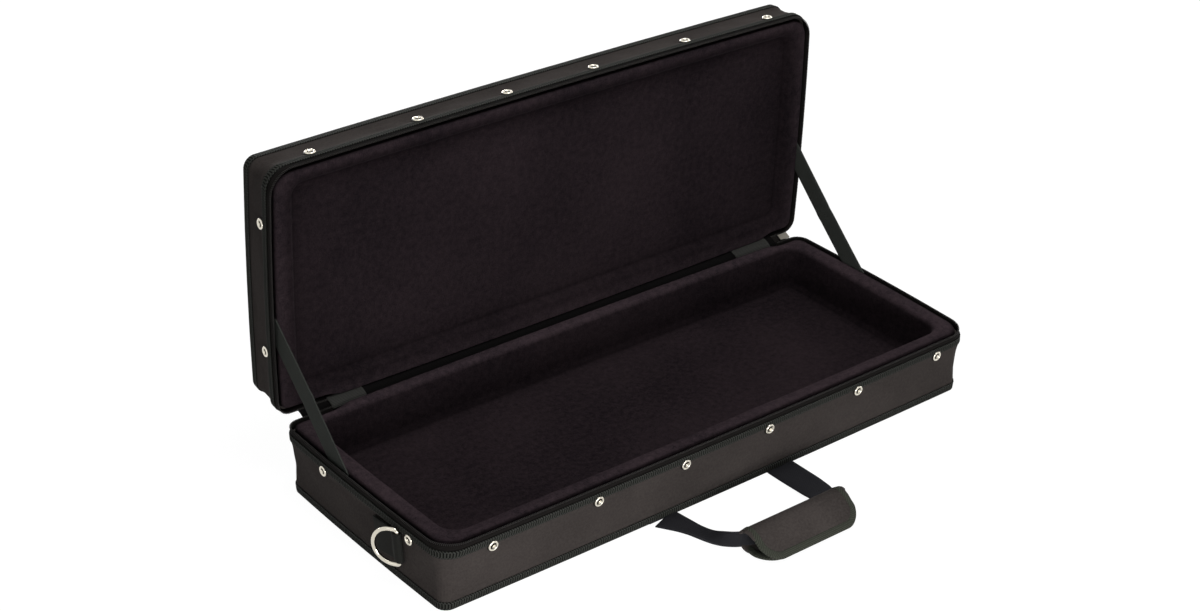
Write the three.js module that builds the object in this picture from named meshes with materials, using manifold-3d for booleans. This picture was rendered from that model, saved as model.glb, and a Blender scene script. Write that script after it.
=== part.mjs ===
import * as THREE from "three";
import { mergeVertices } from "three/addons/utils/BufferGeometryUtils.js";
import Module from "manifold-3d";

// A soft zip-round case for floor equipment, standing open: a deep tray-shaped base and a shallower
// lid that leans upright behind it, held by two webbing stays. Sizes are in millimetres, Z is up,
// X runs along the case from left to right and the front faces -Y. The origin is the centre of the
// base's underside.
//
// Both halves are drawn in one frame of their own, a half frame: its z = 0 is the mouth plane and
// the flat panel lies at z = -height. A distance from the mouth towards the panel is called a drop,
// and a distance from the outer face of the wall into the case is called an inset.

const wasm = await Module();
wasm.setup();

const { lerp } = THREE.MathUtils;

// Case outline: the rim is larger and rounder than the panel, so the walls lean out towards it by a
// flare at each end and at each long side
const RIM_LENGTH = 742;
const RIM_DEPTH = 286;
const RIM_RADIUS = 33;
const RIM_BOW = 2.6;
const RIM_SIDE_BOW = 2;
const END_FLARE = 5;
const SIDE_FLARE = 6;
const PANEL_LENGTH = RIM_LENGTH - 2 * END_FLARE;
const PANEL_DEPTH = RIM_DEPTH - 2 * SIDE_FLARE;
const PANEL_RADIUS = 12;
const PANEL_BOW = 2.4;
const PANEL_SIDE_BOW = 1.8;
const BASE_HEIGHT = 80;
const LID_HEIGHT = 57;
const MOUTH_GAP = 0.6;
const CLEARANCE = 0.3;

// Hinge line behind the rear wall, and how far the stays let the lid open
const HINGE_SETBACK = 3;
const HINGE_DROP = 3.8;
const OPEN_ANGLE = Math.PI / 2;

// Wall layers from the outside in
const COVER_THICKNESS = 1.2;
const COVER_DROP = 9.7;
const BOARD_THICKNESS = 4;
const PANEL_EDGE_INSET = 3;
const PANEL_EDGE_RISE = 0.6;
const BAND_THICKNESS = 2;
const BAND_DROP = 11;
const BAND_WIDTH = 20;
const BAND_RELIEF = 1.6;
const LINING_THICKNESS = 1.5;
const LINING_SETBACK = 5.5;
const LINING_DROP = 1;
const LINING_SKIRT_DROP = 9.3;
const LINING_ROLL = 3;

// Padded hollows, by the borders that they leave inside the rim at the ends and at the long sides,
// at their edge and at their floor, with their corners, depth and place front to back
function withinRim({ endBorder, sideBorder, ...rest }) {
  return { length: RIM_LENGTH - 2 * endBorder, depth: RIM_DEPTH - 2 * sideBorder, ...rest };
}
const TRAY = {
  edge: withinRim({ endBorder: 25, sideBorder: 18.5, radius: 21, bow: 1.5, sideBow: 1, offset: 4.2 }),
  floor: withinRim({ endBorder: 33, sideBorder: 27, radius: 14, bow: 1, sideBow: 0.6, offset: 4.2 }),
  hollow: 48,
  fillet: 6,
};
const RECESS = {
  edge: withinRim({ endBorder: 25.5, sideBorder: 20.75, radius: 17, bow: 1.2, sideBow: 0.8, offset: -1.4 }),
  floor: withinRim({ endBorder: 29.5, sideBorder: 24.75, radius: 13, bow: 1, sideBow: 0.6, offset: -1.4 }),
  hollow: 9,
  fillet: 3.5,
};

// Bindings sewn round the rim and round the panel's edge
const BINDING_THICKNESS = 1;
const RIM_BINDING_DROP = 7.8;
const RIM_BINDING_WIDTH = 8.7;
const PANEL_BINDING_WIDTH = 9.6;
const PANEL_BINDING_RISE = 0.4;

// Zip: a tape standing in line with the cover and a coil on its edge, from the rear left round to
// the rear right
const TAPE_THICKNESS = 0.8;
const TAPE_DROP = 2.5;
const COIL_WIDTH = 2;
const COIL_HEIGHT = 2.2;
const COIL_CHAMFER = 0.6;
const ZIP_LEFT_SETBACK = 61;
const ZIP_RIGHT_SETBACK = 37;
const ZIP_END_LEFT = ZIP_LEFT_SETBACK - RIM_LENGTH / 2;
const ZIP_END_RIGHT = RIM_LENGTH / 2 - ZIP_RIGHT_SETBACK;
const ZIP_TONGUE_LENGTH = 17;
const ZIP_TONGUE_SHARES = [0.31, 0.65];

// Rear gusset that hinges the halves, and the webbing tabs over the zip's two ends
const GUSSET_THICKNESS = 1;
const GUSSET_FULLNESS = 6;
const TAB_THICKNESS = 1.8;
const TAB_SPAN_SHARES = [0.14, 0.86];
const LEFT_TAB_LENGTH = 44;
const RIGHT_TAB_LENGTH = 54;
const RIGHT_TAB_SETBACK = 11;
const RIGHT_TAB_END = ZIP_END_RIGHT - RIGHT_TAB_SETBACK;

// Zip slider and its pull
const SLIDER_LENGTH = 15;
const SLIDER_WIDTH = 7.5;
const SLIDER_PLATE = 1.4;
const SLIDER_POST = 5;
const LUG_THICKNESS = 2;
const LUG_HEIGHT = 4;
const LUG_WIDTH = 4.4;
const PULL_PIN_RADIUS = 0.8;
const PULL_CHEEK = 1.2;
const PULL_LENGTH = 22;
const PULL_WIDTH = 8;
const PULL_THICKNESS = 1.4;

// Rivets: a washer and a cup head on the wall, and a shank through cover and band to its tail
const BASE_RIVET_DROP = 18.6;
const LID_RIVET_DROP = 20.5;
const RIVET_WASHER_RADIUS = 6.8;
const RIVET_WASHER_THICKNESS = 0.7;
const RIVET_HEAD_RADIUS = 5.6;
const RIVET_CROWN_RADIUS = 4;
const RIVET_HEAD_HEIGHT = 2.3;
const RIVET_SHANK_RADIUS = 2.2;
const RIVET_TAIL_RADIUS = 3.4;
const RIVET_TAIL_THICKNESS = 1;
const FRONT_RIVET_SHARES = [-0.835, -0.475, -0.16, 0.16, 0.52, 0.86];
const REAR_RIVET_SHARES = [-0.51, 0.51];
const BASE_SIDE_RIVET_SHARES = [-0.6, 0.47];
const LID_SIDE_RIVET_SHARES = [-0.55, 0.5];

// Webbing stays, sewn in beside the lining of both halves
const STAY_WIDTH = 26;
const STAY_THICKNESS = 1.8;
const STAY_REACH = 110.6;
const STAY_END_DROP = 9;

// D-rings on webbing tabs at both ends of the base
const RING_WIRE_RADIUS = 2.25;
const RING_INNER_WIDTH = 38;
const RING_CORNER_RADIUS = 2.75;
const RING_DEPTH = 33;
const RING_LEAN = THREE.MathUtils.degToRad(28);
const RING_DROOP = THREE.MathUtils.degToRad(3.5);
const RING_TAB_WIDTH = 35;
const RING_TAB_FLARE = 5;
const RING_TAB_LENGTH = 42;
const RING_TAB_THICKNESS = 3.2;
const RING_TAB_LOOP = 1.5;
const RING_BAR_SHARE = -0.503;
const RING_TAB_DROP = 17;

// Handle webbing: its legs, their sewn anchors and the narrower folded run through the grip
const HANDLE_SPACING = 167;
const STRAP_WIDTH = 38;
const STRAP_THICKNESS = 1.8;
const FOLDED_WIDTH = 19;
const FOLDED_THICKNESS = 3.6;
const ANCHOR_LENGTH = 54;
const HANDLE_REACH = 100;
const PIVOT_GAP = 1.2;
const LID_STRAP_REACH = 88;

// Padded grip wrapped round the handle, lying on the ground
const GRIP_LENGTH = 148;
const GRIP_OFFSET = 14;
const GRIP_DEPTH = 43;
const GRIP_HEIGHT = 28;
const GRIP_TIP = 6;
const GRIP_LIFT = 0.3;
const GRIP_WALL = 4.6;
const GRIP_BORE_WIDTH = 23;
const GRIP_BORE_HEIGHT = 16;
const GRIP_CORNER_RADIUS = 16;

// Facets: steps round a corner, along a long side and along a short side, and sides of a round section
const ARC_STEPS = 4;
const LONG_STEPS = 4;
const SIDE_STEPS = 2;
const ROUND_SIDES = 8;
const RING_STEPS = 4;
const OVERRUN = 5;
const MID_ARC_SHARE = 1 - Math.SQRT1_2;

// Materials, one for each mesh
function finish(color, roughness, metalness = 0) {
  return new THREE.MeshStandardMaterial({ color, roughness, metalness });
}
const nylon = () => finish(0x1d1a19, 0.85);
const plush = () => finish(0x1a1417, 1);
const webbing = () => finish(0x23241f, 0.8);
const binding = () => finish(0x26271f, 0.8);
const zipTape = () => finish(0x131313, 0.85);
const coilPlastic = () => finish(0x1f1f1f, 0.45);
const foam = () => finish(0x303030, 1);
const stiffener = () => finish(0x0f0f10, 0.5);
const nickel = () => finish(0xcfcabd, 0.25, 1);

function addPiece(group, name, geometry, material) {
  const mesh = new THREE.Mesh(geometry, material);
  mesh.name = name;
  group.add(mesh);
  return mesh;
}

// Solids

// Faces that close a loop of vertices, laid like rungs between its two sides
function rungs(loop) {
  const faces = [];
  let low = 0;
  let high = loop.length - 1;
  while (high - low > 1) {
    faces.push(loop[low], loop[low + 1], loop[high]);
    low += 1;
    if (high - low > 1) {
      faces.push(loop[low], loop[high - 1], loop[high]);
      high -= 1;
    }
  }
  return faces;
}

// Turns every face over if the closed surface has been drawn inside out
function facingOut(geometry) {
  const position = geometry.attributes.position;
  const index = geometry.index.array;
  const [a, b, c] = [new THREE.Vector3(), new THREE.Vector3(), new THREE.Vector3()];
  let sixVolumes = 0;
  for (let i = 0; i < index.length; i += 3) {
    a.fromBufferAttribute(position, index[i]);
    b.fromBufferAttribute(position, index[i + 1]);
    c.fromBufferAttribute(position, index[i + 2]);
    sixVolumes += a.dot(b.cross(c));
  }
  if (sixVolumes < 0) geometry.setIndex([...index].reverse());
  return geometry;
}

// A closed body from a grid of points, grid[row][column]. A direction that doesn't run round on
// itself is closed with a cap at each end.
function gridBody(grid, rowsRunRound, columnsRunRound) {
  const rows = grid.length;
  const columns = grid[0].length;
  const at = (row, column) => (row % rows) * columns + (column % columns);
  const faces = [];
  for (let row = 0; row < rows - (rowsRunRound ? 0 : 1); row++) {
    for (let column = 0; column < columns - (columnsRunRound ? 0 : 1); column++) {
      const corner = at(row, column);
      const opposite = at(row + 1, column + 1);
      faces.push(corner, at(row, column + 1), opposite);
      faces.push(corner, opposite, at(row + 1, column));
    }
  }
  if (!rowsRunRound) {
    const across = [...Array(columns).keys()];
    faces.push(...rungs(across.map((column) => at(0, column)).reverse()));
    faces.push(...rungs(across.map((column) => at(rows - 1, column))));
  }
  if (!columnsRunRound) {
    const along = [...Array(rows).keys()];
    faces.push(...rungs(along.map((row) => at(row, 0))));
    faces.push(...rungs(along.map((row) => at(row, columns - 1)).reverse()));
  }
  const geometry = new THREE.BufferGeometry();
  geometry.setAttribute("position", new THREE.Float32BufferAttribute(grid.flat().flatMap((p) => [...p]), 3));
  geometry.setIndex(faces);
  return facingOut(geometry);
}

// A solid for joining and cutting, and back again
function solidOf(geometry) {
  const bare = new THREE.BufferGeometry();
  bare.setAttribute("position", geometry.attributes.position);
  bare.setIndex(geometry.index);
  const merged = facingOut(mergeVertices(bare, CLEARANCE / 1000));
  return new wasm.Manifold(
    new wasm.Mesh({
      numProp: 3,
      vertProperties: merged.attributes.position.array,
      triVerts: new Uint32Array(merged.index.array),
    }),
  );
}

function geometryOf(solid) {
  const mesh = solid.getMesh();
  const geometry = new THREE.BufferGeometry();
  geometry.setAttribute("position", new THREE.BufferAttribute(mesh.vertProperties, 3));
  geometry.setIndex(new THREE.BufferAttribute(mesh.triVerts, 1));
  return geometry;
}

function cutBy(geometry, tools) {
  return geometryOf(tools.reduce((rest, tool) => rest.subtract(solidOf(tool)), solidOf(geometry)));
}

function joined(geometries) {
  return geometryOf(geometries.map(solidOf).reduce((whole, next) => whole.add(next)));
}

// A box between two opposite corners
function boxBetween(low, high) {
  const size = high.clone().sub(low);
  const middle = high.clone().add(low).multiplyScalar(0.5);
  return new THREE.BoxGeometry(...size).translate(...middle);
}

// A revolved body whose profile of [radius, height] pairs starts and ends on the axis
function turned(profile, sides) {
  const points = profile.map(([radius, height]) => new THREE.Vector2(radius, height));
  return facingOut(mergeVertices(stripped(new THREE.LatheGeometry(points, sides))));
}

function stripped(geometry) {
  geometry.deleteAttribute("normal");
  geometry.deleteAttribute("uv");
  return geometry;
}

// A shape pushed out evenly to both sides of its own plane
function extruded(shape, thickness, curveSegments = ROUND_SIDES / 2) {
  const geometry = new THREE.ExtrudeGeometry(shape, { depth: thickness, bevelEnabled: false, curveSegments });
  return facingOut(mergeVertices(stripped(geometry.translate(0, 0, -thickness / 2))));
}

// Outlines of the two halves

// One outline as points, anticlockwise seen from above, always the same count so that outlines can
// be lofted. With zip ends it is left open at the rear and runs from the left end to the right end.
function outline(size, inset, z, zipEnds) {
  const reachX = size.length / 2 - inset;
  const reachY = size.depth / 2 - inset;
  const radius = Math.max(size.radius - inset, size.radius / 3);
  const straightX = reachX - radius;
  const straightY = reachY - radius;
  const points = [];
  const add = (x, y) => points.push(new THREE.Vector3(x, y + (size.offset ?? 0), z));
  const corner = (sideX, sideY, start) => {
    for (let step = 0; step <= ARC_STEPS; step++) {
      const angle = start + (step / ARC_STEPS) * (Math.PI / 2);
      add(sideX * straightX + radius * Math.cos(angle), sideY * straightY + radius * Math.sin(angle));
    }
  };
  const bowed = (steps, place) => {
    for (let step = 1; step < steps; step++) {
      const share = (2 * step) / steps - 1;
      place(share, 1 - share * share);
    }
  };
  const zipEnd = (x) => add(x, reachY + size.bow * (1 - (x / straightX) ** 2));
  if (zipEnds) zipEnd(zipEnds.left);
  corner(-1, 1, Math.PI / 2);
  bowed(SIDE_STEPS, (share, swell) => add(-reachX - size.sideBow * swell, -share * straightY));
  corner(-1, -1, Math.PI);
  bowed(LONG_STEPS, (share, swell) => add(share * straightX, -reachY - size.bow * swell));
  corner(1, -1, 1.5 * Math.PI);
  bowed(SIDE_STEPS, (share, swell) => add(reachX + size.sideBow * swell, share * straightY));
  corner(1, 1, 0);
  if (zipEnds) zipEnd(zipEnds.right);
  else bowed(LONG_STEPS, (share, swell) => add(-share * straightX, reachY + size.bow * swell));
  return points;
}

function blendSizes(from, to, share) {
  return Object.fromEntries(Object.keys(from).map((key) => [key, lerp(from[key], to[key], share)]));
}

const RIM_SIZE = {
  length: RIM_LENGTH,
  depth: RIM_DEPTH,
  radius: RIM_RADIUS,
  bow: RIM_BOW,
  sideBow: RIM_SIDE_BOW,
};
const PANEL_SIZE = {
  length: PANEL_LENGTH,
  depth: PANEL_DEPTH,
  radius: PANEL_RADIUS,
  bow: PANEL_BOW,
  sideBow: PANEL_SIDE_BOW,
};
const BASE = {
  name: "base",
  height: BASE_HEIGHT,
  hollow: TRAY,
  rivetDrop: BASE_RIVET_DROP,
  sideRivetShares: BASE_SIDE_RIVET_SHARES,
};
const LID = {
  name: "lid",
  height: LID_HEIGHT,
  hollow: RECESS,
  rivetDrop: LID_RIVET_DROP,
  sideRivetShares: LID_SIDE_RIVET_SHARES,
};
const ZIP_ENDS = { left: ZIP_END_LEFT, right: ZIP_END_RIGHT };

// A loop round the wall of one half, and one round the wall of its hollow
function wallLoop(half, drop, inset, zipEnds) {
  return outline(blendSizes(RIM_SIZE, PANEL_SIZE, drop / half.height), inset, -drop, zipEnds);
}

function hollowLoop(half, drop, outset) {
  const { edge, floor, hollow } = half.hollow;
  return outline(blendSizes(edge, floor, (drop - LINING_DROP) / hollow), -outset, -drop);
}

// A place on the outer face of a wall: the point, and the frame with x along the wall, y out of it
// and z across it. Along is x on the front and rear walls, and y on the side walls.
function onWall(half, side, along, drop) {
  const alongAxis = side === "front" || side === "rear" ? "x" : "y";
  const outAxis = alongAxis === "x" ? "y" : "x";
  const sign = side === "rear" || side === "right" ? 1 : -1;
  const pointAt = (place, depth) => {
    const loop = wallLoop(half, depth, 0);
    const found = loop.flatMap((a, i) => {
      const b = loop[(i + 1) % loop.length];
      const share = (place - a[alongAxis]) / (b[alongAxis] - a[alongAxis]);
      return share >= 0 && share <= 1 ? [a.clone().lerp(b, share)] : [];
    });
    return found.reduce((best, p) => (sign * p[outAxis] > sign * best[outAxis] ? p : best));
  };
  const point = pointAt(along, drop);
  const step = RIVET_WASHER_RADIUS;
  const tangent = pointAt(along + step, drop).sub(pointAt(along - step, drop)).normalize();
  const rise = pointAt(along, drop - step).sub(pointAt(along, drop + step)).normalize();
  const out = rise.clone().cross(tangent).normalize();
  if (out[outAxis] * sign < 0) out.negate();
  return new THREE.Matrix4()
    .makeBasis(tangent, out, tangent.clone().cross(out))
    .setPosition(point);
}

// Rivets: their places on one half, and one rivet standing on the wall at its own origin
function rivetPlaces(half) {
  const places = [];
  const row = (side, shares, reach) =>
    shares.forEach((share, i) =>
      places.push({
        name: `${half.name}_rivet_${side}_${i + 1}`,
        frame: onWall(half, side, share * reach, half.rivetDrop),
      }),
    );
  row("front", FRONT_RIVET_SHARES, RIM_LENGTH / 2);
  row("left", half.sideRivetShares, RIM_DEPTH / 2);
  row("right", half.sideRivetShares, RIM_DEPTH / 2);
  row("rear", REAR_RIVET_SHARES, RIM_LENGTH / 2);
  return places;
}

const SHANK_END = -(COVER_THICKNESS + CLEARANCE + BAND_THICKNESS + CLEARANCE);

function rivetGeometry() {
  return turned(
    [
      [0, SHANK_END - RIVET_TAIL_THICKNESS],
      [RIVET_TAIL_RADIUS, SHANK_END - RIVET_TAIL_THICKNESS],
      [RIVET_TAIL_RADIUS, SHANK_END],
      [RIVET_SHANK_RADIUS, SHANK_END],
      [RIVET_SHANK_RADIUS, CLEARANCE],
      [RIVET_WASHER_RADIUS, CLEARANCE],
      [RIVET_WASHER_RADIUS, CLEARANCE + RIVET_WASHER_THICKNESS],
      [RIVET_HEAD_RADIUS, CLEARANCE + RIVET_WASHER_THICKNESS],
      [RIVET_CROWN_RADIUS, CLEARANCE + RIVET_HEAD_HEIGHT],
      [0, CLEARANCE + RIVET_HEAD_HEIGHT],
    ],
    ROUND_SIDES,
  );
}

function drilled(geometry, half, radius, depth) {
  const drills = rivetPlaces(half).map(({ frame }) =>
    new THREE.CylinderGeometry(radius, radius, 2 * depth, ROUND_SIDES).applyMatrix4(frame),
  );
  return cutBy(geometry, drills);
}

// Layers of one half

// Woven cover with its flat stiffened panel, whose edge lifts a little to the seam
function coverGeometry(half) {
  const shell = gridBody(
    [
      wallLoop(half, half.height, PANEL_EDGE_INSET),
      wallLoop(half, half.height - PANEL_EDGE_RISE, 0),
      wallLoop(half, COVER_DROP, 0),
      wallLoop(half, COVER_DROP, COVER_THICKNESS),
      wallLoop(half, half.height - BOARD_THICKNESS, COVER_THICKNESS),
    ],
    false,
    true,
  );
  return drilled(shell, half, RIVET_SHANK_RADIUS + CLEARANCE, OVERRUN);
}

// A hoop of rectangular section round the wall
function hoopGeometry(half, drop, width, inset, thickness) {
  return gridBody(
    [
      wallLoop(half, drop, inset),
      wallLoop(half, drop, inset + thickness),
      wallLoop(half, drop + width, inset + thickness),
      wallLoop(half, drop + width, inset),
    ],
    true,
    true,
  );
}

// The lining's surface from its skirt over the padded border and down into the hollow, or the
// same surface a little deeper in, for the lining's back and for the foam under it
function liningLoops(half, deeper) {
  const { hollow, fillet } = half.hollow;
  const top = LINING_DROP + deeper;
  const floor = LINING_DROP + hollow + deeper;
  const roll = LINING_ROLL - deeper;
  const midRoll = roll * MID_ARC_SHARE;
  const cove = fillet + deeper;
  const midCove = cove * MID_ARC_SHARE;
  return [
    wallLoop(half, LINING_SKIRT_DROP, LINING_SETBACK + deeper),
    wallLoop(half, LINING_DROP + LINING_ROLL, LINING_SETBACK + deeper),
    wallLoop(half, top + midRoll, LINING_SETBACK + deeper + midRoll),
    wallLoop(half, top, LINING_SETBACK + LINING_ROLL),
    hollowLoop(half, top, LINING_ROLL),
    hollowLoop(half, top + midRoll, deeper + midRoll),
    hollowLoop(half, LINING_DROP + LINING_ROLL, deeper),
    hollowLoop(half, LINING_DROP + hollow - fillet, deeper),
    hollowLoop(half, floor - midCove, deeper - midCove),
    hollowLoop(half, floor, -fillet),
  ];
}

function liningGeometry(half) {
  return gridBody([...liningLoops(half, 0).reverse(), ...liningLoops(half, LINING_THICKNESS)], false, true);
}

const FOAM_INSET = COVER_THICKNESS + CLEARANCE;
const BAND_INSET = COVER_THICKNESS + CLEARANCE;
const FOAM_NECK_INSET = BAND_INSET + BAND_THICKNESS + BAND_RELIEF;

// Foam tray between the cover and the lining, stepped in behind the rivet band
function foamGeometry(half) {
  const bandEnd = BAND_DROP + BAND_WIDTH + CLEARANCE;
  const shoulder = LINING_SKIRT_DROP + CLEARANCE;
  const under = LINING_THICKNESS + CLEARANCE;
  return gridBody(
    [
      wallLoop(half, half.height - BOARD_THICKNESS - CLEARANCE, FOAM_INSET),
      wallLoop(half, bandEnd, FOAM_INSET),
      wallLoop(half, bandEnd, FOAM_NECK_INSET),
      wallLoop(half, shoulder, FOAM_NECK_INSET),
      wallLoop(half, shoulder, LINING_SETBACK + under),
      ...liningLoops(half, under).slice(1),
    ],
    false,
    true,
  );
}

function bandGeometry(half) {
  const hoop = hoopGeometry(half, BAND_DROP, BAND_WIDTH, BAND_INSET, BAND_THICKNESS);
  return drilled(hoop, half, RIVET_SHANK_RADIUS + CLEARANCE, OVERRUN);
}

const BINDING_INSET = -CLEARANCE - BINDING_THICKNESS;

function rimBindingGeometry(half) {
  const hoop = hoopGeometry(half, RIM_BINDING_DROP, RIM_BINDING_WIDTH, BINDING_INSET, BINDING_THICKNESS);
  return drilled(hoop, half, RIVET_WASHER_RADIUS + CLEARANCE, OVERRUN);
}

function panelBindingGeometry(half) {
  const drop = half.height - PANEL_BINDING_RISE - PANEL_BINDING_WIDTH;
  return hoopGeometry(half, drop, PANEL_BINDING_WIDTH, BINDING_INSET, BINDING_THICKNESS);
}

// Zip tape and coil, open at the rear between the zip's two ends
function zipStrip(half, section) {
  return gridBody(
    section.map(([drop, inset]) => wallLoop(half, drop, inset, ZIP_ENDS)),
    true,
    false,
  );
}

function tapeGeometry(half) {
  const foot = COVER_DROP - CLEARANCE;
  return zipStrip(half, [
    [TAPE_DROP, 0],
    [TAPE_DROP, TAPE_THICKNESS],
    [foot, TAPE_THICKNESS],
    [foot, 0],
  ]);
}

function coilGeometry(half) {
  const middle = TAPE_THICKNESS / 2;
  const foot = COIL_HEIGHT;
  return zipStrip(half, [
    [0, middle - COIL_WIDTH / 2 + COIL_CHAMFER],
    [0, middle + COIL_WIDTH / 2 - COIL_CHAMFER],
    [foot / 2, middle + COIL_WIDTH / 2],
    [foot, middle + COIL_WIDTH / 2 - COIL_CHAMFER],
    [foot, middle - COIL_WIDTH / 2 + COIL_CHAMFER],
    [foot / 2, middle - COIL_WIDTH / 2],
  ]);
}

// Handle anchors, sewn to the panel near its front edge
const ANCHOR_FRONT = PANEL_DEPTH / 2 + PANEL_BOW + CLEARANCE + BINDING_THICKNESS;
const PIVOT_Y = -(ANCHOR_FRONT + PIVOT_GAP);
const STRAP_LEVEL = CLEARANCE + STRAP_THICKNESS / 2;
const HANDLE_SIDES = { left: -1, right: 1 };

function anchorBox(side, z, margin) {
  const x = (side * HANDLE_SPACING) / 2;
  const reachX = STRAP_WIDTH / 2 + margin;
  const reachZ = STRAP_THICKNESS / 2 + margin;
  return boxBetween(
    new THREE.Vector3(x - reachX, -ANCHOR_FRONT + (margin ? -OVERRUN : 0), z - reachZ),
    new THREE.Vector3(x + reachX, -ANCHOR_FRONT + ANCHOR_LENGTH + margin, z + reachZ),
  );
}

// One half of the case, in its half frame
function addHalf(group, half) {
  const pockets =
    half === BASE
      ? Object.values(HANDLE_SIDES).map((side) => anchorBox(side, STRAP_LEVEL - half.height, CLEARANCE))
      : [];
  addPiece(group, `${half.name}_cover`, cutBy(coverGeometry(half), pockets), nylon());
  addPiece(group, `${half.name}_rim_band`, bandGeometry(half), stiffener());
  addPiece(group, `${half.name}_foam`, foamGeometry(half), foam());
  addPiece(group, `${half.name}_lining`, liningGeometry(half), plush());
  addPiece(group, `${half.name}_rim_binding`, rimBindingGeometry(half), binding());
  const panelBinding = half === BASE ? "base_bottom_binding" : "lid_edge_binding";
  addPiece(group, panelBinding, cutBy(panelBindingGeometry(half), pockets), binding());
  addPiece(group, `${half.name}_zipper_tape`, tapeGeometry(half), zipTape());
  addPiece(group, `${half.name}_zipper_coil`, coilGeometry(half), coilPlastic());
  for (const { name, frame } of rivetPlaces(half)) {
    const rivet = addPiece(group, name, rivetGeometry(), nickel());
    frame.decompose(rivet.position, rivet.quaternion, rivet.scale);
  }
}

// Hinge line, and the lid carried on it
const HINGE_Y = RIM_DEPTH / 2 + RIM_BOW + HINGE_SETBACK;
const HINGE_Z = BASE_HEIGHT - HINGE_DROP;

const caseGroup = new THREE.Group();
const baseHalf = new THREE.Group();
baseHalf.position.z = BASE_HEIGHT;
caseGroup.add(baseHalf);

const lidSwing = new THREE.Group();
lidSwing.position.set(0, HINGE_Y, HINGE_Z);
lidSwing.rotation.x = -OPEN_ANGLE;
caseGroup.add(lidSwing);

// The lid's half frame is the base's turned over, mouth to mouth
const lidHalf = new THREE.Group();
lidHalf.position.set(0, -HINGE_Y, BASE_HEIGHT + MOUTH_GAP - HINGE_Z);
lidHalf.scale.z = -1;
lidSwing.add(lidHalf);

addHalf(baseHalf, BASE);
addHalf(lidHalf, LID);
caseGroup.updateMatrixWorld(true);

const inLid = (point) => point.clone().applyMatrix4(lidHalf.matrixWorld);
const inBase = (point) => point.clone().applyMatrix4(baseHalf.matrixWorld);

// Rear gusset

// The line that the gusset's outer face follows across the hinge at one place along it
function gussetLine(x) {
  const drop = RIM_BINDING_DROP - CLEARANCE;
  const rear = (half) => {
    const size = blendSizes(RIM_SIZE, PANEL_SIZE, drop / half.height);
    const straight = size.length / 2 - size.radius;
    return new THREE.Vector3(x, size.depth / 2 + size.bow * (1 - (x / straight) ** 2), -drop);
  };
  const fullness = new THREE.Vector3(0, 0, GUSSET_FULLNESS);
  return new THREE.CubicBezierCurve3(
    inBase(rear(BASE)),
    inBase(rear(BASE).add(fullness)),
    inLid(rear(LID).add(fullness)),
    inLid(rear(LID)),
  );
}

const GUSSET_STEPS = 5;

// The section of a strip laid on the gusset's line: its outer face, then its inner face back again
function stripSection(x, spanShares, inset, thickness) {
  const line = gussetLine(x);
  const face = (depth) =>
    Array.from({ length: GUSSET_STEPS + 1 }, (_, step) => {
      const share = lerp(...spanShares, step / GUSSET_STEPS);
      const tangent = line.getTangent(share);
      return line.getPoint(share).add(new THREE.Vector3(0, -tangent.z, tangent.y).multiplyScalar(depth));
    });
  return [...face(inset), ...face(inset + thickness).reverse()];
}

// A strip from a list of its sections, each a place along the case and the span that it covers there
function stripGeometry(stations, inset, thickness) {
  const sections = stations.map(([x, shares]) => stripSection(x, shares, inset, thickness));
  return gridBody(
    sections[0].map((_, row) => sections.map((section) => section[row])),
    true,
    false,
  );
}

const WHOLE_SHARES = [0, 1];
const gussetStart = ZIP_END_LEFT + CLEARANCE;
const gussetEnd = ZIP_END_RIGHT - CLEARANCE;
const tongueEnd = ZIP_END_RIGHT + ZIP_TONGUE_LENGTH;
const gussetStations = Array.from({ length: LONG_STEPS + 1 }, (_, step) => [
  lerp(gussetStart, gussetEnd, step / LONG_STEPS),
  WHOLE_SHARES,
]);
const tongueStations = [gussetEnd + CLEARANCE, tongueEnd].map((x) => [x, ZIP_TONGUE_SHARES]);
addPiece(
  caseGroup,
  "hinge_gusset",
  stripGeometry([...gussetStations, ...tongueStations], 0, GUSSET_THICKNESS),
  nylon(),
);

function addHingeTab(name, start, end) {
  const stations = [start, (start + end) / 2, end].map((x) => [x, TAB_SPAN_SHARES]);
  const geometry = stripGeometry(stations, GUSSET_THICKNESS + CLEARANCE, TAB_THICKNESS);
  addPiece(caseGroup, name, geometry, webbing());
}
addHingeTab("hinge_tab_left", gussetStart, gussetStart + LEFT_TAB_LENGTH);
addHingeTab("hinge_tab_right", RIGHT_TAB_END - RIGHT_TAB_LENGTH, RIGHT_TAB_END);

// Zip slider, holding the closed end of the zip between its two plates

// Its frame: x along the zip, y out of the case and z across the zip
const sliderLine = gussetLine(tongueEnd);
const sliderShare = (ZIP_TONGUE_SHARES[0] + ZIP_TONGUE_SHARES[1]) / 2;
const sliderAcross = sliderLine.getTangent(sliderShare);
const sliderOut = new THREE.Vector3(0, sliderAcross.z, -sliderAcross.y);
const slider = new THREE.Group();
slider.quaternion.setFromRotationMatrix(
  new THREE.Matrix4().makeBasis(
    new THREE.Vector3(1, 0, 0),
    sliderOut,
    new THREE.Vector3(1, 0, 0).cross(sliderOut),
  ),
);
slider.position.copy(sliderLine.getPoint(sliderShare)).addScaledVector(sliderOut, -GUSSET_THICKNESS / 2);
caseGroup.add(slider);

const SLIDER_MOUTH = GUSSET_THICKNESS + 4 * CLEARANCE;
const LUG_CENTRE = SLIDER_MOUTH / 2 + SLIDER_PLATE + LUG_HEIGHT - LUG_WIDTH / 2;

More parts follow.
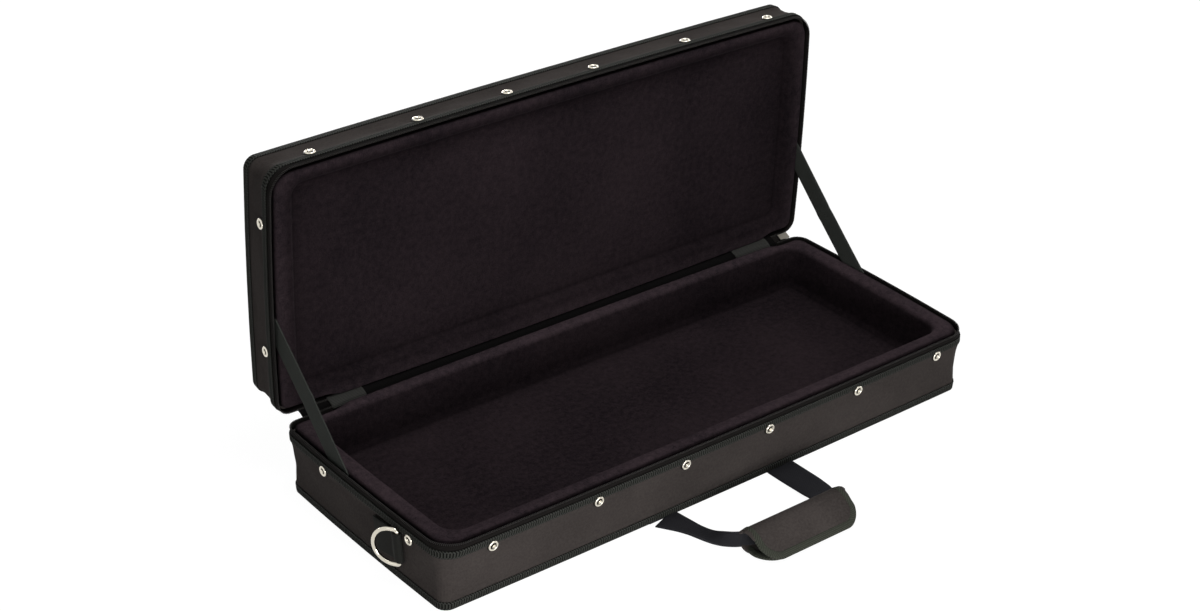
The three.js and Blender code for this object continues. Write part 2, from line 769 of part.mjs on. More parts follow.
function sliderGeometry() {
  const back = CLEARANCE + SLIDER_POST;
  const front = back - SLIDER_LENGTH;
  const half = SLIDER_MOUTH / 2;
  const full = half + SLIDER_PLATE;
  const profile = new THREE.Shape([
    new THREE.Vector2(back, -full + SLIDER_PLATE / 2),
    new THREE.Vector2(back, full - SLIDER_PLATE / 2),
    new THREE.Vector2(back - SLIDER_PLATE / 2, full),
    new THREE.Vector2(front, full),
    new THREE.Vector2(front, half),
    new THREE.Vector2(CLEARANCE, half),
    new THREE.Vector2(CLEARANCE, -half),
    new THREE.Vector2(front, -half),
    new THREE.Vector2(front, -full),
    new THREE.Vector2(back - SLIDER_PLATE / 2, -full),
  ]);
  const lug = new THREE.Shape();
  lug.moveTo(-LUG_WIDTH / 2, half + SLIDER_PLATE / 2);
  lug.lineTo(LUG_WIDTH / 2, half + SLIDER_PLATE / 2);
  lug.lineTo(LUG_WIDTH / 2, LUG_CENTRE);
  lug.absarc(0, LUG_CENTRE, LUG_WIDTH / 2, 0, Math.PI);
  lug.holes.push(new THREE.Path().absarc(0, LUG_CENTRE, PULL_PIN_RADIUS + CLEARANCE, 0, 2 * Math.PI));
  const lugBody = extruded(lug, LUG_THICKNESS).rotateY(Math.PI / 2);
  return joined([extruded(profile, SLIDER_WIDTH), lugBody]);
}
addPiece(slider, "zipper_slider", sliderGeometry(), nickel());

// The pull hangs on a pin through the slider's lug, between two cheeks
const pull = new THREE.Group();
pull.position.set(0, LUG_CENTRE, 0);
pull.quaternion.copy(slider.quaternion).invert();
slider.add(pull);

function pullGeometry() {
  const cheekReach = LUG_THICKNESS / 2 + CLEARANCE + PULL_CHEEK;
  const cheekDrop = LUG_WIDTH / 2 + CLEARANCE;
  const pin = new THREE.CylinderGeometry(
    PULL_PIN_RADIUS,
    PULL_PIN_RADIUS,
    2 * cheekReach - PULL_CHEEK,
    ROUND_SIDES - 2,
  );
  const cheek = (left) =>
    boxBetween(
      new THREE.Vector3(left, -PULL_THICKNESS / 2, -cheekDrop - PULL_CHEEK),
      new THREE.Vector3(left + PULL_CHEEK, PULL_THICKNESS / 2, PULL_PIN_RADIUS + CLEARANCE),
    );
  const plate = new THREE.Shape();
  plate.moveTo(-cheekReach, -cheekDrop);
  plate.lineTo(-PULL_WIDTH / 2, -PULL_LENGTH / 2);
  plate.absarc(0, -PULL_LENGTH + PULL_WIDTH / 2, PULL_WIDTH / 2, Math.PI, 2 * Math.PI);
  plate.lineTo(PULL_WIDTH / 2, -PULL_LENGTH / 2);
  plate.lineTo(cheekReach, -cheekDrop);
  return joined([
    pin.rotateZ(Math.PI / 2),
    cheek(-cheekReach),
    cheek(cheekReach - PULL_CHEEK),
    extruded(plate, PULL_THICKNESS).rotateX(Math.PI / 2),
  ]);
}
addPiece(pull, "zipper_pull", pullGeometry(), nickel());

// Stays, flat in the plane of the side walls, their ends cut along the slots that they are sewn into
function addStay(name, side) {
  const baseY = HINGE_Y - STAY_REACH;
  const inset = LINING_SETBACK - CLEARANCE - STAY_THICKNESS / 2;
  const wall = inBase(new THREE.Vector3().setFromMatrixPosition(onWall(BASE, side, baseY, 0)));
  const x = wall.x - Math.sign(wall.x) * inset;
  const foot = inBase(new THREE.Vector3(x, baseY, -STAY_END_DROP));
  const head = inLid(new THREE.Vector3(x, baseY, -STAY_END_DROP));
  const run = head.clone().sub(foot).normalize();
  const footReach = STAY_WIDTH / 2 / run.z;
  const headReach = STAY_WIDTH / 2 / run.y;
  const shape = new THREE.Shape([
    new THREE.Vector2(foot.y - footReach, foot.z),
    new THREE.Vector2(foot.y + footReach, foot.z),
    new THREE.Vector2(head.y, head.z - headReach),
    new THREE.Vector2(head.y, head.z + headReach),
  ]);
  const stay = addPiece(caseGroup, name, extruded(shape, STAY_THICKNESS), webbing());
  stay.quaternion.setFromRotationMatrix(
    new THREE.Matrix4().makeBasis(
      new THREE.Vector3(0, 1, 0),
      new THREE.Vector3(0, 0, 1),
      new THREE.Vector3(1, 0, 0),
    ),
  );
  stay.position.x = x;
}
addStay("lid_stay_left", "left");
addStay("lid_stay_right", "right");

// D-rings

// In the tab's frame x runs rearwards along the wall from the ring's bar, y stands out of the wall
// and z runs along the bar. Down is the sign of the bar's lower end. The tab widens downwards to its
// sewn end, and tab and ring droop a little.
const RING_LOOP_RADIUS = RING_WIRE_RADIUS + CLEARANCE + RING_TAB_LOOP;
const RING_BAR_OUT = CLEARANCE + RING_LOOP_RADIUS;

function ringTabGeometry(down) {
  const outer = CLEARANCE + RING_TAB_THICKNESS;
  const meet = Math.asin((outer - RING_BAR_OUT) / RING_LOOP_RADIUS);
  const shape = new THREE.Shape();
  shape.moveTo(RING_TAB_LENGTH, outer);
  shape.lineTo(RING_LOOP_RADIUS * Math.cos(meet), outer);
  shape.absarc(0, RING_BAR_OUT, RING_LOOP_RADIUS, meet, 1.5 * Math.PI);
  shape.lineTo(RING_TAB_LENGTH, CLEARANCE);
  shape.holes.push(new THREE.Path().absarc(0, RING_BAR_OUT, RING_WIRE_RADIUS + CLEARANCE, 0, 2 * Math.PI));
  const tab = extruded(shape, RING_TAB_WIDTH, ROUND_SIDES);
  const position = tab.attributes.position;
  for (let i = 0; i < position.count; i++) {
    const flare = (RING_TAB_FLARE * Math.max(position.getX(i), 0)) / RING_TAB_LENGTH;
    if (position.getZ(i) * down > 0) position.setZ(i, position.getZ(i) + down * flare);
  }
  return tab;
}

// The ring's wire follows a D: a straight bar, two tight corners and a wide arc
function ringGeometry() {
  const reach = RING_INNER_WIDTH / 2 + RING_WIRE_RADIUS;
  const bend = RING_CORNER_RADIUS;
  const arcCentre = RING_DEPTH - 2 * RING_WIRE_RADIUS - reach;
  const path = new THREE.Path();
  path.moveTo(0, -reach + bend);
  path.absarc(bend, -reach + bend, bend, Math.PI, 1.5 * Math.PI);
  path.absarc(arcCentre, 0, reach, -Math.PI / 2, Math.PI / 2);
  path.absarc(bend, reach - bend, bend, Math.PI / 2, Math.PI);
  const line = path.getPoints(RING_STEPS);
  const centres = line.filter((p, i) => i === 0 || p.distanceTo(line[i - 1]) > CLEARANCE);
  const count = centres.length;
  const wire = Array.from({ length: ROUND_SIDES }, (_, side) => {
    const angle = (2 * Math.PI * side) / ROUND_SIDES;
    return centres.map((p, i) => {
      const ahead = centres[(i + 1) % count].clone().sub(p).normalize();
      const behind = p.clone().sub(centres[(i + count - 1) % count]).normalize();
      const tangent = ahead.add(behind).normalize();
      const out = RING_WIRE_RADIUS * Math.cos(angle);
      return new THREE.Vector3(
        p.x + out * tangent.y,
        RING_WIRE_RADIUS * Math.sin(angle),
        p.y - out * tangent.x,
      );
    });
  });
  return gridBody(wire, true, true);
}

function addRing(side, down) {
  const middle = RING_TAB_DROP + RING_TAB_WIDTH / 2;
  const frame = onWall(BASE, side, (RING_BAR_SHARE * RIM_DEPTH) / 2, middle);
  const mount = new THREE.Group();
  frame.decompose(mount.position, mount.quaternion, mount.scale);
  mount.rotateY(-down * RING_DROOP);
  baseHalf.add(mount);
  addPiece(mount, `d_ring_tab_${side}`, ringTabGeometry(down), webbing());
  const ring = addPiece(mount, `d_ring_${side}`, ringGeometry(), nickel());
  ring.position.y = RING_BAR_OUT;
  ring.rotation.z = RING_LEAN;
}
addRing("left", -1);
addRing("right", 1);

// Handles

// A flat strap along a list of stations, each the middle of the strap there, its width and its thickness
function strapGeometry(stations) {
  const middles = stations.map((station) => station.at);
  const up = new THREE.Vector3(0, 0, 1);
  const sections = stations.map(({ at, width, thickness }, i) => {
    const ahead = middles[Math.min(i + 1, middles.length - 1)];
    const behind = middles[Math.max(i - 1, 0)];
    const tangent = ahead.clone().sub(behind).setZ(0).normalize();
    const across = tangent.cross(up).multiplyScalar(width / 2);
    const rise = up.clone().multiplyScalar(thickness / 2);
    return [
      at.clone().add(across).add(rise),
      at.clone().sub(across).add(rise),
      at.clone().sub(across).sub(rise),
      at.clone().add(across).sub(rise),
    ];
  });
  return gridBody(
    sections[0].map((_, row) => sections.map((section) => section[row])),
    true,
    false,
  );
}

// A station from its place across the handle, how far out it is, its height and how far it is
// folded, with a margin all round for the passage that the strap needs
function strapStation(x, out, height, folded, margin = 0) {
  return {
    at: new THREE.Vector3(x, -out, height),
    width: lerp(STRAP_WIDTH, FOLDED_WIDTH, folded) + 2 * margin,
    thickness: lerp(STRAP_THICKNESS, FOLDED_THICKNESS, folded) + 2 * margin,
  };
}

const LEG_X = HANDLE_SPACING / 2;
const GRIP_REAR = HANDLE_REACH - GRIP_BORE_WIDTH / 2 - GRIP_WALL;
const GRIP_LEVEL = GRIP_LIFT + GRIP_HEIGHT / 2;

// Across, out, height and fold of the strap, as shares of the leg's place, the reach, the height in
// the grip and the full fold
const BASE_STRAP_SHARES = [
  [-1, 0, 0, 0],
  [-1, 0.06, 0, 0],
  [-0.98, 0.24, 0.1, 0.05],
  [-0.93, 0.46, 0.3, 0.3],
  [-0.87, 0.66, 0.56, 0.75],
  [-0.8, 0.82, 0.8, 1],
  [-0.7, 0.93, 0.96, 1],
  [-0.55, 0.99, 1, 1],
  [-0.38, 1, 1, 1],
  [0.45, 1, 1, 1],
  [0.64, 0.98, 1, 1],
  [0.79, 0.91, 0.86, 0.8],
  [0.88, 0.8, 0.66, 0.45],
  [0.93, 0.66, 0.46, 0.15],
  [0.97, 0.35, 0.15, 0],
  [1, 0.06, 0, 0],
  [1, 0, 0, 0],
];
const LID_STRAP_SHARES = [
  [-1, 0, 0],
  [-1, 0.06, 0],
  [-0.98, 0.4, 0.05],
  [-0.88, 0.68, 0.5],
  [-0.7, 0.89, 1],
  [-0.42, 1, 1],
  [0.42, 1, 1],
  [0.7, 0.89, 1],
  [0.88, 0.68, 0.5],
  [0.98, 0.4, 0.05],
  [1, 0.06, 0],
  [1, 0, 0],
];

for (const [side, sign] of Object.entries(HANDLE_SIDES)) {
  addPiece(baseHalf, `base_handle_anchor_${side}`, anchorBox(sign, STRAP_LEVEL - BASE_HEIGHT, 0), webbing());
  addPiece(lidHalf, `lid_handle_anchor_${side}`, anchorBox(sign, -STRAP_LEVEL - LID_HEIGHT, 0), webbing());
}

const baseHandle = new THREE.Group();
baseHandle.position.set(0, PIVOT_Y, STRAP_LEVEL);
caseGroup.add(baseHandle);

function baseStrapGeometry(margin) {
  return strapGeometry(
    BASE_STRAP_SHARES.map(([x, out, height, folded]) =>
      strapStation(x * LEG_X, out * HANDLE_REACH, height * (GRIP_LEVEL - STRAP_LEVEL), folded, margin),
    ),
  );
}

// Each leg ends in a rounded fold that turns against the end of its anchor
function legFold(sign) {
  const radius = STRAP_THICKNESS / 2;
  const roll = new THREE.CylinderGeometry(radius, radius, STRAP_WIDTH, ROUND_SIDES);
  return roll.rotateZ(Math.PI / 2).translate(sign * LEG_X, 0, 0);
}
addPiece(
  baseHandle,
  "base_handle_strap",
  joined([baseStrapGeometry(0), ...Object.values(HANDLE_SIDES).map(legFold)]),
  webbing(),
);

// The grip's section is a thick roll round the strap, closed by a flap that slopes down to its edge
function gripGeometry() {
  const roll = GRIP_HEIGHT / 2;
  const front = GRIP_REAR + GRIP_DEPTH;
  const section = new THREE.Shape();
  section.moveTo(-GRIP_REAR - roll, GRIP_LIFT);
  section.absarc(-GRIP_REAR - roll, GRIP_LIFT + roll, roll, -Math.PI / 2, Math.PI / 2);
  section.quadraticCurveTo(-front + GRIP_TIP, GRIP_LIFT + GRIP_HEIGHT, -front, GRIP_LIFT + GRIP_TIP);
  section.lineTo(-front, GRIP_LIFT);
  const bore = new THREE.Path();
  bore.absellipse(-HANDLE_REACH, GRIP_LEVEL, GRIP_BORE_WIDTH / 2, GRIP_BORE_HEIGHT / 2, 0, 2 * Math.PI);
  section.holes.push(bore);
  const wrap = extruded(section, GRIP_LENGTH, ROUND_SIDES).applyMatrix4(
    new THREE.Matrix4().makeBasis(
      new THREE.Vector3(0, 1, 0),
      new THREE.Vector3(0, 0, 1),
      new THREE.Vector3(1, 0, 0),
    ),
  );
  const plan = new THREE.Shape();
  const reachX = GRIP_LENGTH / 2;
  const corner = GRIP_CORNER_RADIUS;
  plan.moveTo(-reachX - OVERRUN, -GRIP_REAR + OVERRUN);
  plan.lineTo(-reachX, -GRIP_REAR - roll);
  plan.absarc(-reachX + corner, -front + corner, corner, Math.PI, 1.5 * Math.PI);
  plan.absarc(reachX - corner, -front + corner, corner, 1.5 * Math.PI, 2 * Math.PI);
  plan.lineTo(reachX, -GRIP_REAR - roll);
  plan.lineTo(reachX + OVERRUN, -GRIP_REAR + OVERRUN);
  const block = extruded(plan, 4 * GRIP_HEIGHT);
  const rounded = geometryOf(solidOf(wrap).intersect(solidOf(block)));
  rounded.translate(GRIP_OFFSET, 0, -STRAP_LEVEL);
  return cutBy(rounded, [baseStrapGeometry(CLEARANCE)]);
}
addPiece(baseHandle, "handle_grip", gripGeometry(), nylon());

// The lid's strap is folded back over its anchors and lies against the panel
const lidHandle = new THREE.Group();
const LID_FOLD = (STRAP_THICKNESS + CLEARANCE) / 2;
lidHandle.position.set(0, PIVOT_Y, -LID_HEIGHT - STRAP_LEVEL - LID_FOLD);
lidHandle.rotation.x = Math.PI;
lidHalf.add(lidHandle);
addPiece(
  lidHandle,
  "lid_handle_strap",
  strapGeometry(
    LID_STRAP_SHARES.map(([x, out, folded]) =>
      strapStation(x * LEG_X, out * LID_STRAP_REACH, LID_FOLD + CLEARANCE, folded),
    ),
  ),
  webbing(),
);

export default caseGroup;
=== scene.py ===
import bpy
import numpy as np
from mathutils import Matrix


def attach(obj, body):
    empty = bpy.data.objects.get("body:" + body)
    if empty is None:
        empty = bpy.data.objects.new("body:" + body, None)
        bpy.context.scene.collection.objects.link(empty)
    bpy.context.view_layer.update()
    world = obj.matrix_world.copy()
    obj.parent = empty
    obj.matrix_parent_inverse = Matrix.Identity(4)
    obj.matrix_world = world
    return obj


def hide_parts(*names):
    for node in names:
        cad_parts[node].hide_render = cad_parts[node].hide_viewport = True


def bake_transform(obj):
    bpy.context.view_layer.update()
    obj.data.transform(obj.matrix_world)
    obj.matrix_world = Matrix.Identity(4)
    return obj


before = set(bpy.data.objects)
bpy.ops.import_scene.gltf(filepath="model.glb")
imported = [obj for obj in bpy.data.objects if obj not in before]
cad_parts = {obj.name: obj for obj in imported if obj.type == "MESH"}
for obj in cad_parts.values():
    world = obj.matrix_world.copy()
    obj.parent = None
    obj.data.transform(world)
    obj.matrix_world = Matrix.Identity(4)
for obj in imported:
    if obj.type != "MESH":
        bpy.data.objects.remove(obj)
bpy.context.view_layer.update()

MM = 0.001

# Camera and studio
# The camera stands above the left front corner, as in the photograph. The case is on a plain white
# floor, under one soft lamp above it, a low one at the front left and a weak one far to the left.
# Two more light its rear and its right end, which this camera doesn't see.
CAMERA_PLACE = (-1.4616, -1.6629, 1.4106)
CAMERA_RIGHT = (0.7773, -0.6282, 0.0336)
CAMERA_UP = (0.2863, 0.4009, 0.8702)
CAMERA_BACK = (-0.5601, -0.6669, 0.4915)


def add_to_scene(name, data):
    made = bpy.data.objects.new(name, data)
    bpy.context.scene.collection.objects.link(made)
    return made


def facing(place, right, up, back):
    """The matrix of something at a place whose X, Y and Z axes are right, up and back."""
    turn = np.eye(4)
    turn[:3, 0], turn[:3, 1], turn[:3, 2], turn[:3, 3] = right, up, back, place
    return Matrix(turn.tolist())


camera_data = bpy.data.cameras.new("camera")
camera_data.sensor_width = 36
camera_data.lens = 70.48
camera_data.shift_x = 0.0007
camera_data.shift_y = 0.0019
camera_data.clip_end = 50
camera = add_to_scene("camera", camera_data)
camera.matrix_world = facing(CAMERA_PLACE, CAMERA_RIGHT, CAMERA_UP, CAMERA_BACK)
bpy.context.scene.camera = camera
bpy.context.scene.view_settings.view_transform = "Standard"


def linear(hex_colour):
    """A colour from its sRGB hex value, each channel turned to linear by the sRGB curve."""
    channels = np.array([int(hex_colour[i : i + 2], 16) / 255 for i in (1, 3, 5)])
    low = channels <= 0.04045
    turned = np.where(low, channels / 12.92, ((channels + 0.055) / 1.055) ** 2.4)
    return (*turned.tolist(), 1.0)


def add(tree, kind, inputs=(), **settings):
    """Adds a node. A setting named like one of its sockets goes there, and any other on the node
    itself. Inputs are sockets' names or numbers, each with its value, the output that feeds it or
    the node whose first output does."""
    node = tree.nodes.new("ShaderNode" + kind)
    for name, value in settings.items():
        socket = node.inputs.get(name.replace("_", " "))
        if socket is not None:
            socket.default_value = value
        else:
            setattr(node, name, value)
    for name, value in dict(inputs).items():
        if isinstance(value, bpy.types.Node):
            value = value.outputs[0]
        if isinstance(value, bpy.types.NodeSocket):
            tree.links.new(node.inputs[name], value)
        else:
            node.inputs[name].default_value = value
    return node


def new_material(name):
    """A material without nodes yet, and its tree."""
    material = bpy.data.materials.new(name)
    material.use_nodes = True
    material.node_tree.nodes.clear()
    return material, material.node_tree


# The floor shows white to the camera and in the metal, and still takes the case's soft shadow
def white_to_the_eye(tree, share):
    """How far white light takes over: by share for rays from the camera, metal or glass, else 0."""
    rays = add(tree, "LightPath").outputs
    seen = rays["Is Camera Ray"]
    for ray in ("Is Glossy Ray", "Is Transmission Ray"):
        seen = add(tree, "Math", {0: seen, 1: rays[ray]}, operation="MAXIMUM")
    return add(tree, "Math", {0: seen, 1: share}, operation="MULTIPLY")


floor_paint, tree = new_material("white_studio_floor")
matt = add(tree, "BsdfDiffuse", Color=linear("#e6e6e6"))
glow = add(tree, "Emission", Color=(1, 1, 1, 1), Strength=1.13)
mixed = add(tree, "MixShader", {0: white_to_the_eye(tree, 0.86), 1: matt, 2: glow})
add(tree, "OutputMaterial", {"Surface": mixed})

FLOOR_REACH, FLOOR_LEVEL = 8, -0.0002
floor_mesh = bpy.data.meshes.new("floor")
square = np.array(((-1, -1), (1, -1), (1, 1), (-1, 1))) * FLOOR_REACH
floor_corners = [(x, y, FLOOR_LEVEL) for x, y in square.tolist()]
floor_mesh.from_pydata(floor_corners, [], [(0, 1, 2, 3)])
floor_mesh.materials.append(floor_paint)
add_to_scene("floor", floor_mesh)

world = bpy.data.worlds.new("studio")
world.use_nodes = True
bpy.context.scene.world = world
tree = world.node_tree
tree.nodes.clear()
fill = add(tree, "Background", Color=(1, 1, 1, 1), Strength=0.05)
white = add(tree, "Background", Color=(1, 1, 1, 1), Strength=1)
mixed = add(tree, "MixShader", {0: white_to_the_eye(tree, 1), 1: fill, 2: white})
add(tree, "OutputWorld", {"Surface": mixed})


def add_softbox(name, place, target, width, height, power):
    """A rectangular lamp at a place, facing a target."""
    lamp_data = bpy.data.lights.new(name, "AREA")
    lamp_data.shape = "RECTANGLE"
    lamp_data.size = width
    lamp_data.size_y = height
    lamp_data.energy = power
    lamp = add_to_scene(name, lamp_data)
    back = np.array(place, float) - np.array(target, float)
    back /= np.linalg.norm(back)
    right = np.cross((0, 0, 1), back)
    right /= np.linalg.norm(right)
    lamp.matrix_world = facing(place, right, np.cross(back, right), back)


add_softbox("top_softbox", (0.05, -0.3, 1.8), (0, 0, 0.05), 1.0, 0.8, 16)
add_softbox("low_softbox", (-0.5, -1.2, 0.17), (-0.05, 0, 0.08), 0.9, 0.22, 9.5)
add_softbox("left_softbox", (-3.2, -0.4, 1.2), (0, 0, 0.15), 1.6, 1.2, 4)
add_softbox("rear_softbox", (0.6, 2.7, 0.26), (0, 0, 0.2), 1.8, 0.4, 45)
add_softbox("right_softbox", (3.0, 0.1, 0.5), (0, 0, 0.15), 1.2, 0.8, 25)

# Covers
# Each half is a box of heavy woven nylon over foam board: four walls that lean out to a rounder
# rim, and a flat panel. The walls are one strip sewn to the panel, and lie slack between rivets.
BASE_HEIGHT = 80
LID_HEIGHT = 57
HEIGHT = {"base": BASE_HEIGHT, "lid": LID_HEIGHT}
HINGE_Y, HINGE_Z = 148.6, 76.2
LID_MOUTH_Y = HINGE_Y + BASE_HEIGHT + 0.6 - HINGE_Z
LID_CENTRE_Z = HINGE_Z + HINGE_Y
RIM = {"length": 742, "depth": 286, "radius": 33, "rear_radius": 16, "bow": 2.6, "end_bow": 2}
PANEL = {"length": 732, "depth": 274, "radius": 12, "bow": 2.4, "end_bow": 1.8}
COVER_DROP = 9.7
COVER_THICKNESS = 1.1
RIVET_DROP = {"base": 18.6, "lid": 20.5}
RIVET_PLACES = {
    "front": (-309.8, -176.2, -59.4, 59.4, 192.9, 319.1),
    "rear": (-189.2, 189.2),
    "base_end": (-85.8, 67.2),
    "lid_end": (-78.7, 71.5),
}


def standing(half, points):
    """Points of a half frame, mouth at z 0 and panel at z -height, put where that half stands: the
    base is raised by its height, and the lid is turned over and leans upright behind the hinge."""
    x, y, z = np.moveaxis(np.asarray(points, float), -1, 0)
    if half == "base":
        return np.stack([x, y, z + BASE_HEIGHT], -1)
    return np.stack([x, LID_MOUTH_Y - z, LID_CENTRE_Z - y], -1)


def between(first, second, share):
    """The sizes a share of the way from the first outline to the second. Rear corners of the first
    outline turn into the plain corners of a second that has no rear radius."""
    return {
        key: size + (second.get(key, second["radius"]) - size) * share
        for key, size in first.items()
    }


SIDE_STEPS = 120


def outline(size, inset, z, finer=1):
    """A closed line round a half at height z: quarter circles joined by four sides, each swelling
    by its bow times one less the square of the distance from its middle."""
    reach_x = size["length"] / 2 - inset
    reach_y = size["depth"] / 2 - inset
    radius = max(size["radius"] - inset, size["radius"] / 3)
    rear = max(size.get("rear_radius", size["radius"]) - inset, size["radius"] / 3)
    turn = np.linspace(0, np.pi / 2, 14 * finer + 1)
    along = np.linspace(-1, 1, SIDE_STEPS * finer + 1)[1:-1]
    down = np.linspace(-1, 1, 44 * finer + 1)[1:-1]

    def bend(side_x, side_y, start, radius):
        x = side_x * (reach_x - radius) + radius * np.cos(start + turn)
        y = side_y * (reach_y - radius) + radius * np.sin(start + turn)
        return np.stack([x, y], -1)

    def end_y(down):
        return down * (reach_y - (radius + rear) / 2) + (radius - rear) / 2

    swell_x = reach_x + size["end_bow"] * (1 - down**2)
    swell_y = reach_y + size["bow"] * (1 - along**2)
    flat = np.concatenate(
        [
            bend(-1, 1, np.pi / 2, rear),
            np.stack([-swell_x, end_y(-down)], -1),
            bend(-1, -1, np.pi, radius),
            np.stack([along * (reach_x - radius), -swell_y], -1),
            bend(1, -1, 1.5 * np.pi, radius),
            np.stack([swell_x, end_y(down)], -1),
            bend(1, 1, 0, rear),
            np.stack([-along * (reach_x - rear), swell_y], -1),
        ]
    )
    return np.concatenate([flat, np.full((len(flat), 1), float(z))], -1)


def wall_line(half, drop, inset=0.0, finer=1):
    """The line round a half's wall at a drop from its mouth, inset from the wall's outer face. Its
    corners tighten fastest just below the rim."""
    share = drop / HEIGHT[half]
    size = between(RIM, PANEL, share)
    tight = between(RIM, PANEL, share**0.45)
    size.update(radius=tight["radius"], rear_radius=tight["rear_radius"])
    return outline(size, inset, -drop, finer)


def unit(vectors):
    """Vectors scaled to a length of 1."""
    return vectors / np.linalg.norm(vectors, axis=-1, keepdims=True)


def outward(lines):
    """Unit vectors level with the ground and square to closed lines that run anticlockwise."""
    run = np.roll(lines, -1, 1) - np.roll(lines, 1, 1)
    return unit(np.stack([run[..., 1], -run[..., 0], np.zeros(run.shape[:2])], -1))


def lengths(points):
    """How far along a line of points each one is."""
    steps = np.linalg.norm(np.diff(points, axis=0), axis=-1)
    return np.concatenate([[0], np.cumsum(steps)])


def taken_at(line, at):
    """The points of a line at given distances along it."""
    places = lengths(line)
    return np.stack([np.interp(at, places, axis) for axis in line.T], -1)


def volume_of(points, faces):
    """Six times the volume inside faces of three or four corners, negative if they face inwards."""
    first = points[faces[:, 0]]
    return sum(
        np.einsum("ij,ij->", first, np.cross(points[faces[:, i]], points[faces[:, i + 1]]))
        for i in range(1, faces.shape[1] - 1)
    )


def smooth_mesh(points, faces):
    """A smoothly shaded mesh from points in millimetres and each face's list of their numbers."""
    mesh = bpy.data.meshes.new("mesh")
    mesh.from_pydata((points * MM).tolist(), [], faces)
    mesh.polygons.foreach_set("use_smooth", np.ones(len(mesh.polygons), bool))
    return mesh


def corners_of(grid):
    """What stands at the four corners of each cell of a grid."""
    return np.stack([grid[:-1, :-1], grid[:-1, 1:], grid[1:, 1:], grid[1:, :-1]], 2)


def cloth_mesh(grid, wraps=(False, True), caps=True, uv=None):
    """A mesh from points in millimetres, grid[row, column]. A direction that wraps joins its last
    line to its first; caps closes the first and last row with one face each. Its UV map holds
    metres along the columns' direction and across it, from the given uv or from mean lengths."""
    rows, columns = grid.shape[:2]
    index = np.arange(rows * columns).reshape(rows, columns)
    wide = grid
    for axis in np.flatnonzero(wraps):
        index = np.append(index, index.take([0], axis), axis)
        wide = np.append(wide, wide.take([0], axis), axis)
    if uv is None:
        across = lengths(wide[:, wide.shape[1] // 2])
        along = lengths(wide[wide.shape[0] // 2])
        uv = np.stack(np.broadcast_arrays(along[None, :], across[:, None]), -1)
    faces, corner_uv = corners_of(index).reshape(-1, 4), corners_of(uv)
    points = grid.reshape(-1, 3)
    end_faces = []
    if caps:
        end_faces = [list(reversed(range(columns))), [*range((rows - 1) * columns, rows * columns)]]
    if volume_of(points, faces) < 0:
        faces = faces[:, ::-1]
        corner_uv = corner_uv[:, :, ::-1]
        end_faces = [face[::-1] for face in end_faces]
    mesh = smooth_mesh(points, faces.tolist() + end_faces)
    cap_uv = np.zeros((sum(map(len, end_faces)), 2))
    uv = np.concatenate([corner_uv.reshape(-1, 2), cap_uv]) * MM
    mesh.uv_layers.new(name="cloth").data.foreach_set("uv", uv.ravel())
    return mesh


def cloth_piece(name, mesh, material, body, slot, *nodes):
    """A piece from its mesh, riding on a body if it has one, and standing for CAD nodes."""
    mesh.name = name
    mesh.materials.append(material)
    made = add_to_scene(name, mesh)
    if body:
        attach(made, body)
    if nodes:
        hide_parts(*nodes)
    return made


def waves(x, y, seed, longest, count=7):
    """Slack in cloth: a sum of sines in seeded directions, each shorter and shallower than the
    last, scaled to about -1 to 1."""
    random = np.random.default_rng(seed)
    total = np.zeros(np.broadcast(x, y).shape)
    for step in range(count):
        angle, phase = random.uniform(0, 2 * np.pi, 2)
        rate = 2 * np.pi / longest * 1.35**step
        total += np.sin(rate * (x * np.cos(angle) + y * np.sin(angle)) + phase) / 1.25**step
    return total / 2.2


def ease(value, start, end):
    """A smooth step from 0 at start to 1 at end."""
    share = np.clip((value - start) / (end - start), 0, 1)
    return share * share * (3 - 2 * share)


def rivet_pits(half, lines, drops):
    """How deep the cloth is drawn in round the rivets, as a share of the depth at their middles."""
    spread = 9.0
    pits = np.zeros(lines.shape[:2])
    places = [(x, -1, 0) for x in RIVET_PLACES["front"]] + [(x, 1, 0) for x in RIVET_PLACES["rear"]]
    places += [(y, side, 1) for y in RIVET_PLACES[half + "_end"] for side in (-1, 1)]
    for place, side, axis in places:
        near = np.sign(lines[..., 1 - axis]) == side
        reach = np.abs(lines[..., 1 - axis]) > (100 if axis == 0 else 300)
        away = (lines[..., axis] - place) ** 2 + (drops[:, None] - RIVET_DROP[half]) ** 2
        pits += near * reach * np.exp(-away / (2 * spread**2))
    return pits


def every(spacing):
    """The scale at which a noise's grains lie a spacing in millimetres apart."""
    return 1 / (spacing * MM)


def shade_ramp(ramp, colour, low, high, places=(0, 1)):
    """Gives a colour ramp its two stops, a colour times low and the same colour times high."""
    base = np.array(linear(colour)[:3])
    for stop, place, factor in zip(ramp.color_ramp.elements, places, (low, high)):
        stop.position = place
        stop.color = (*(base * factor), 1)


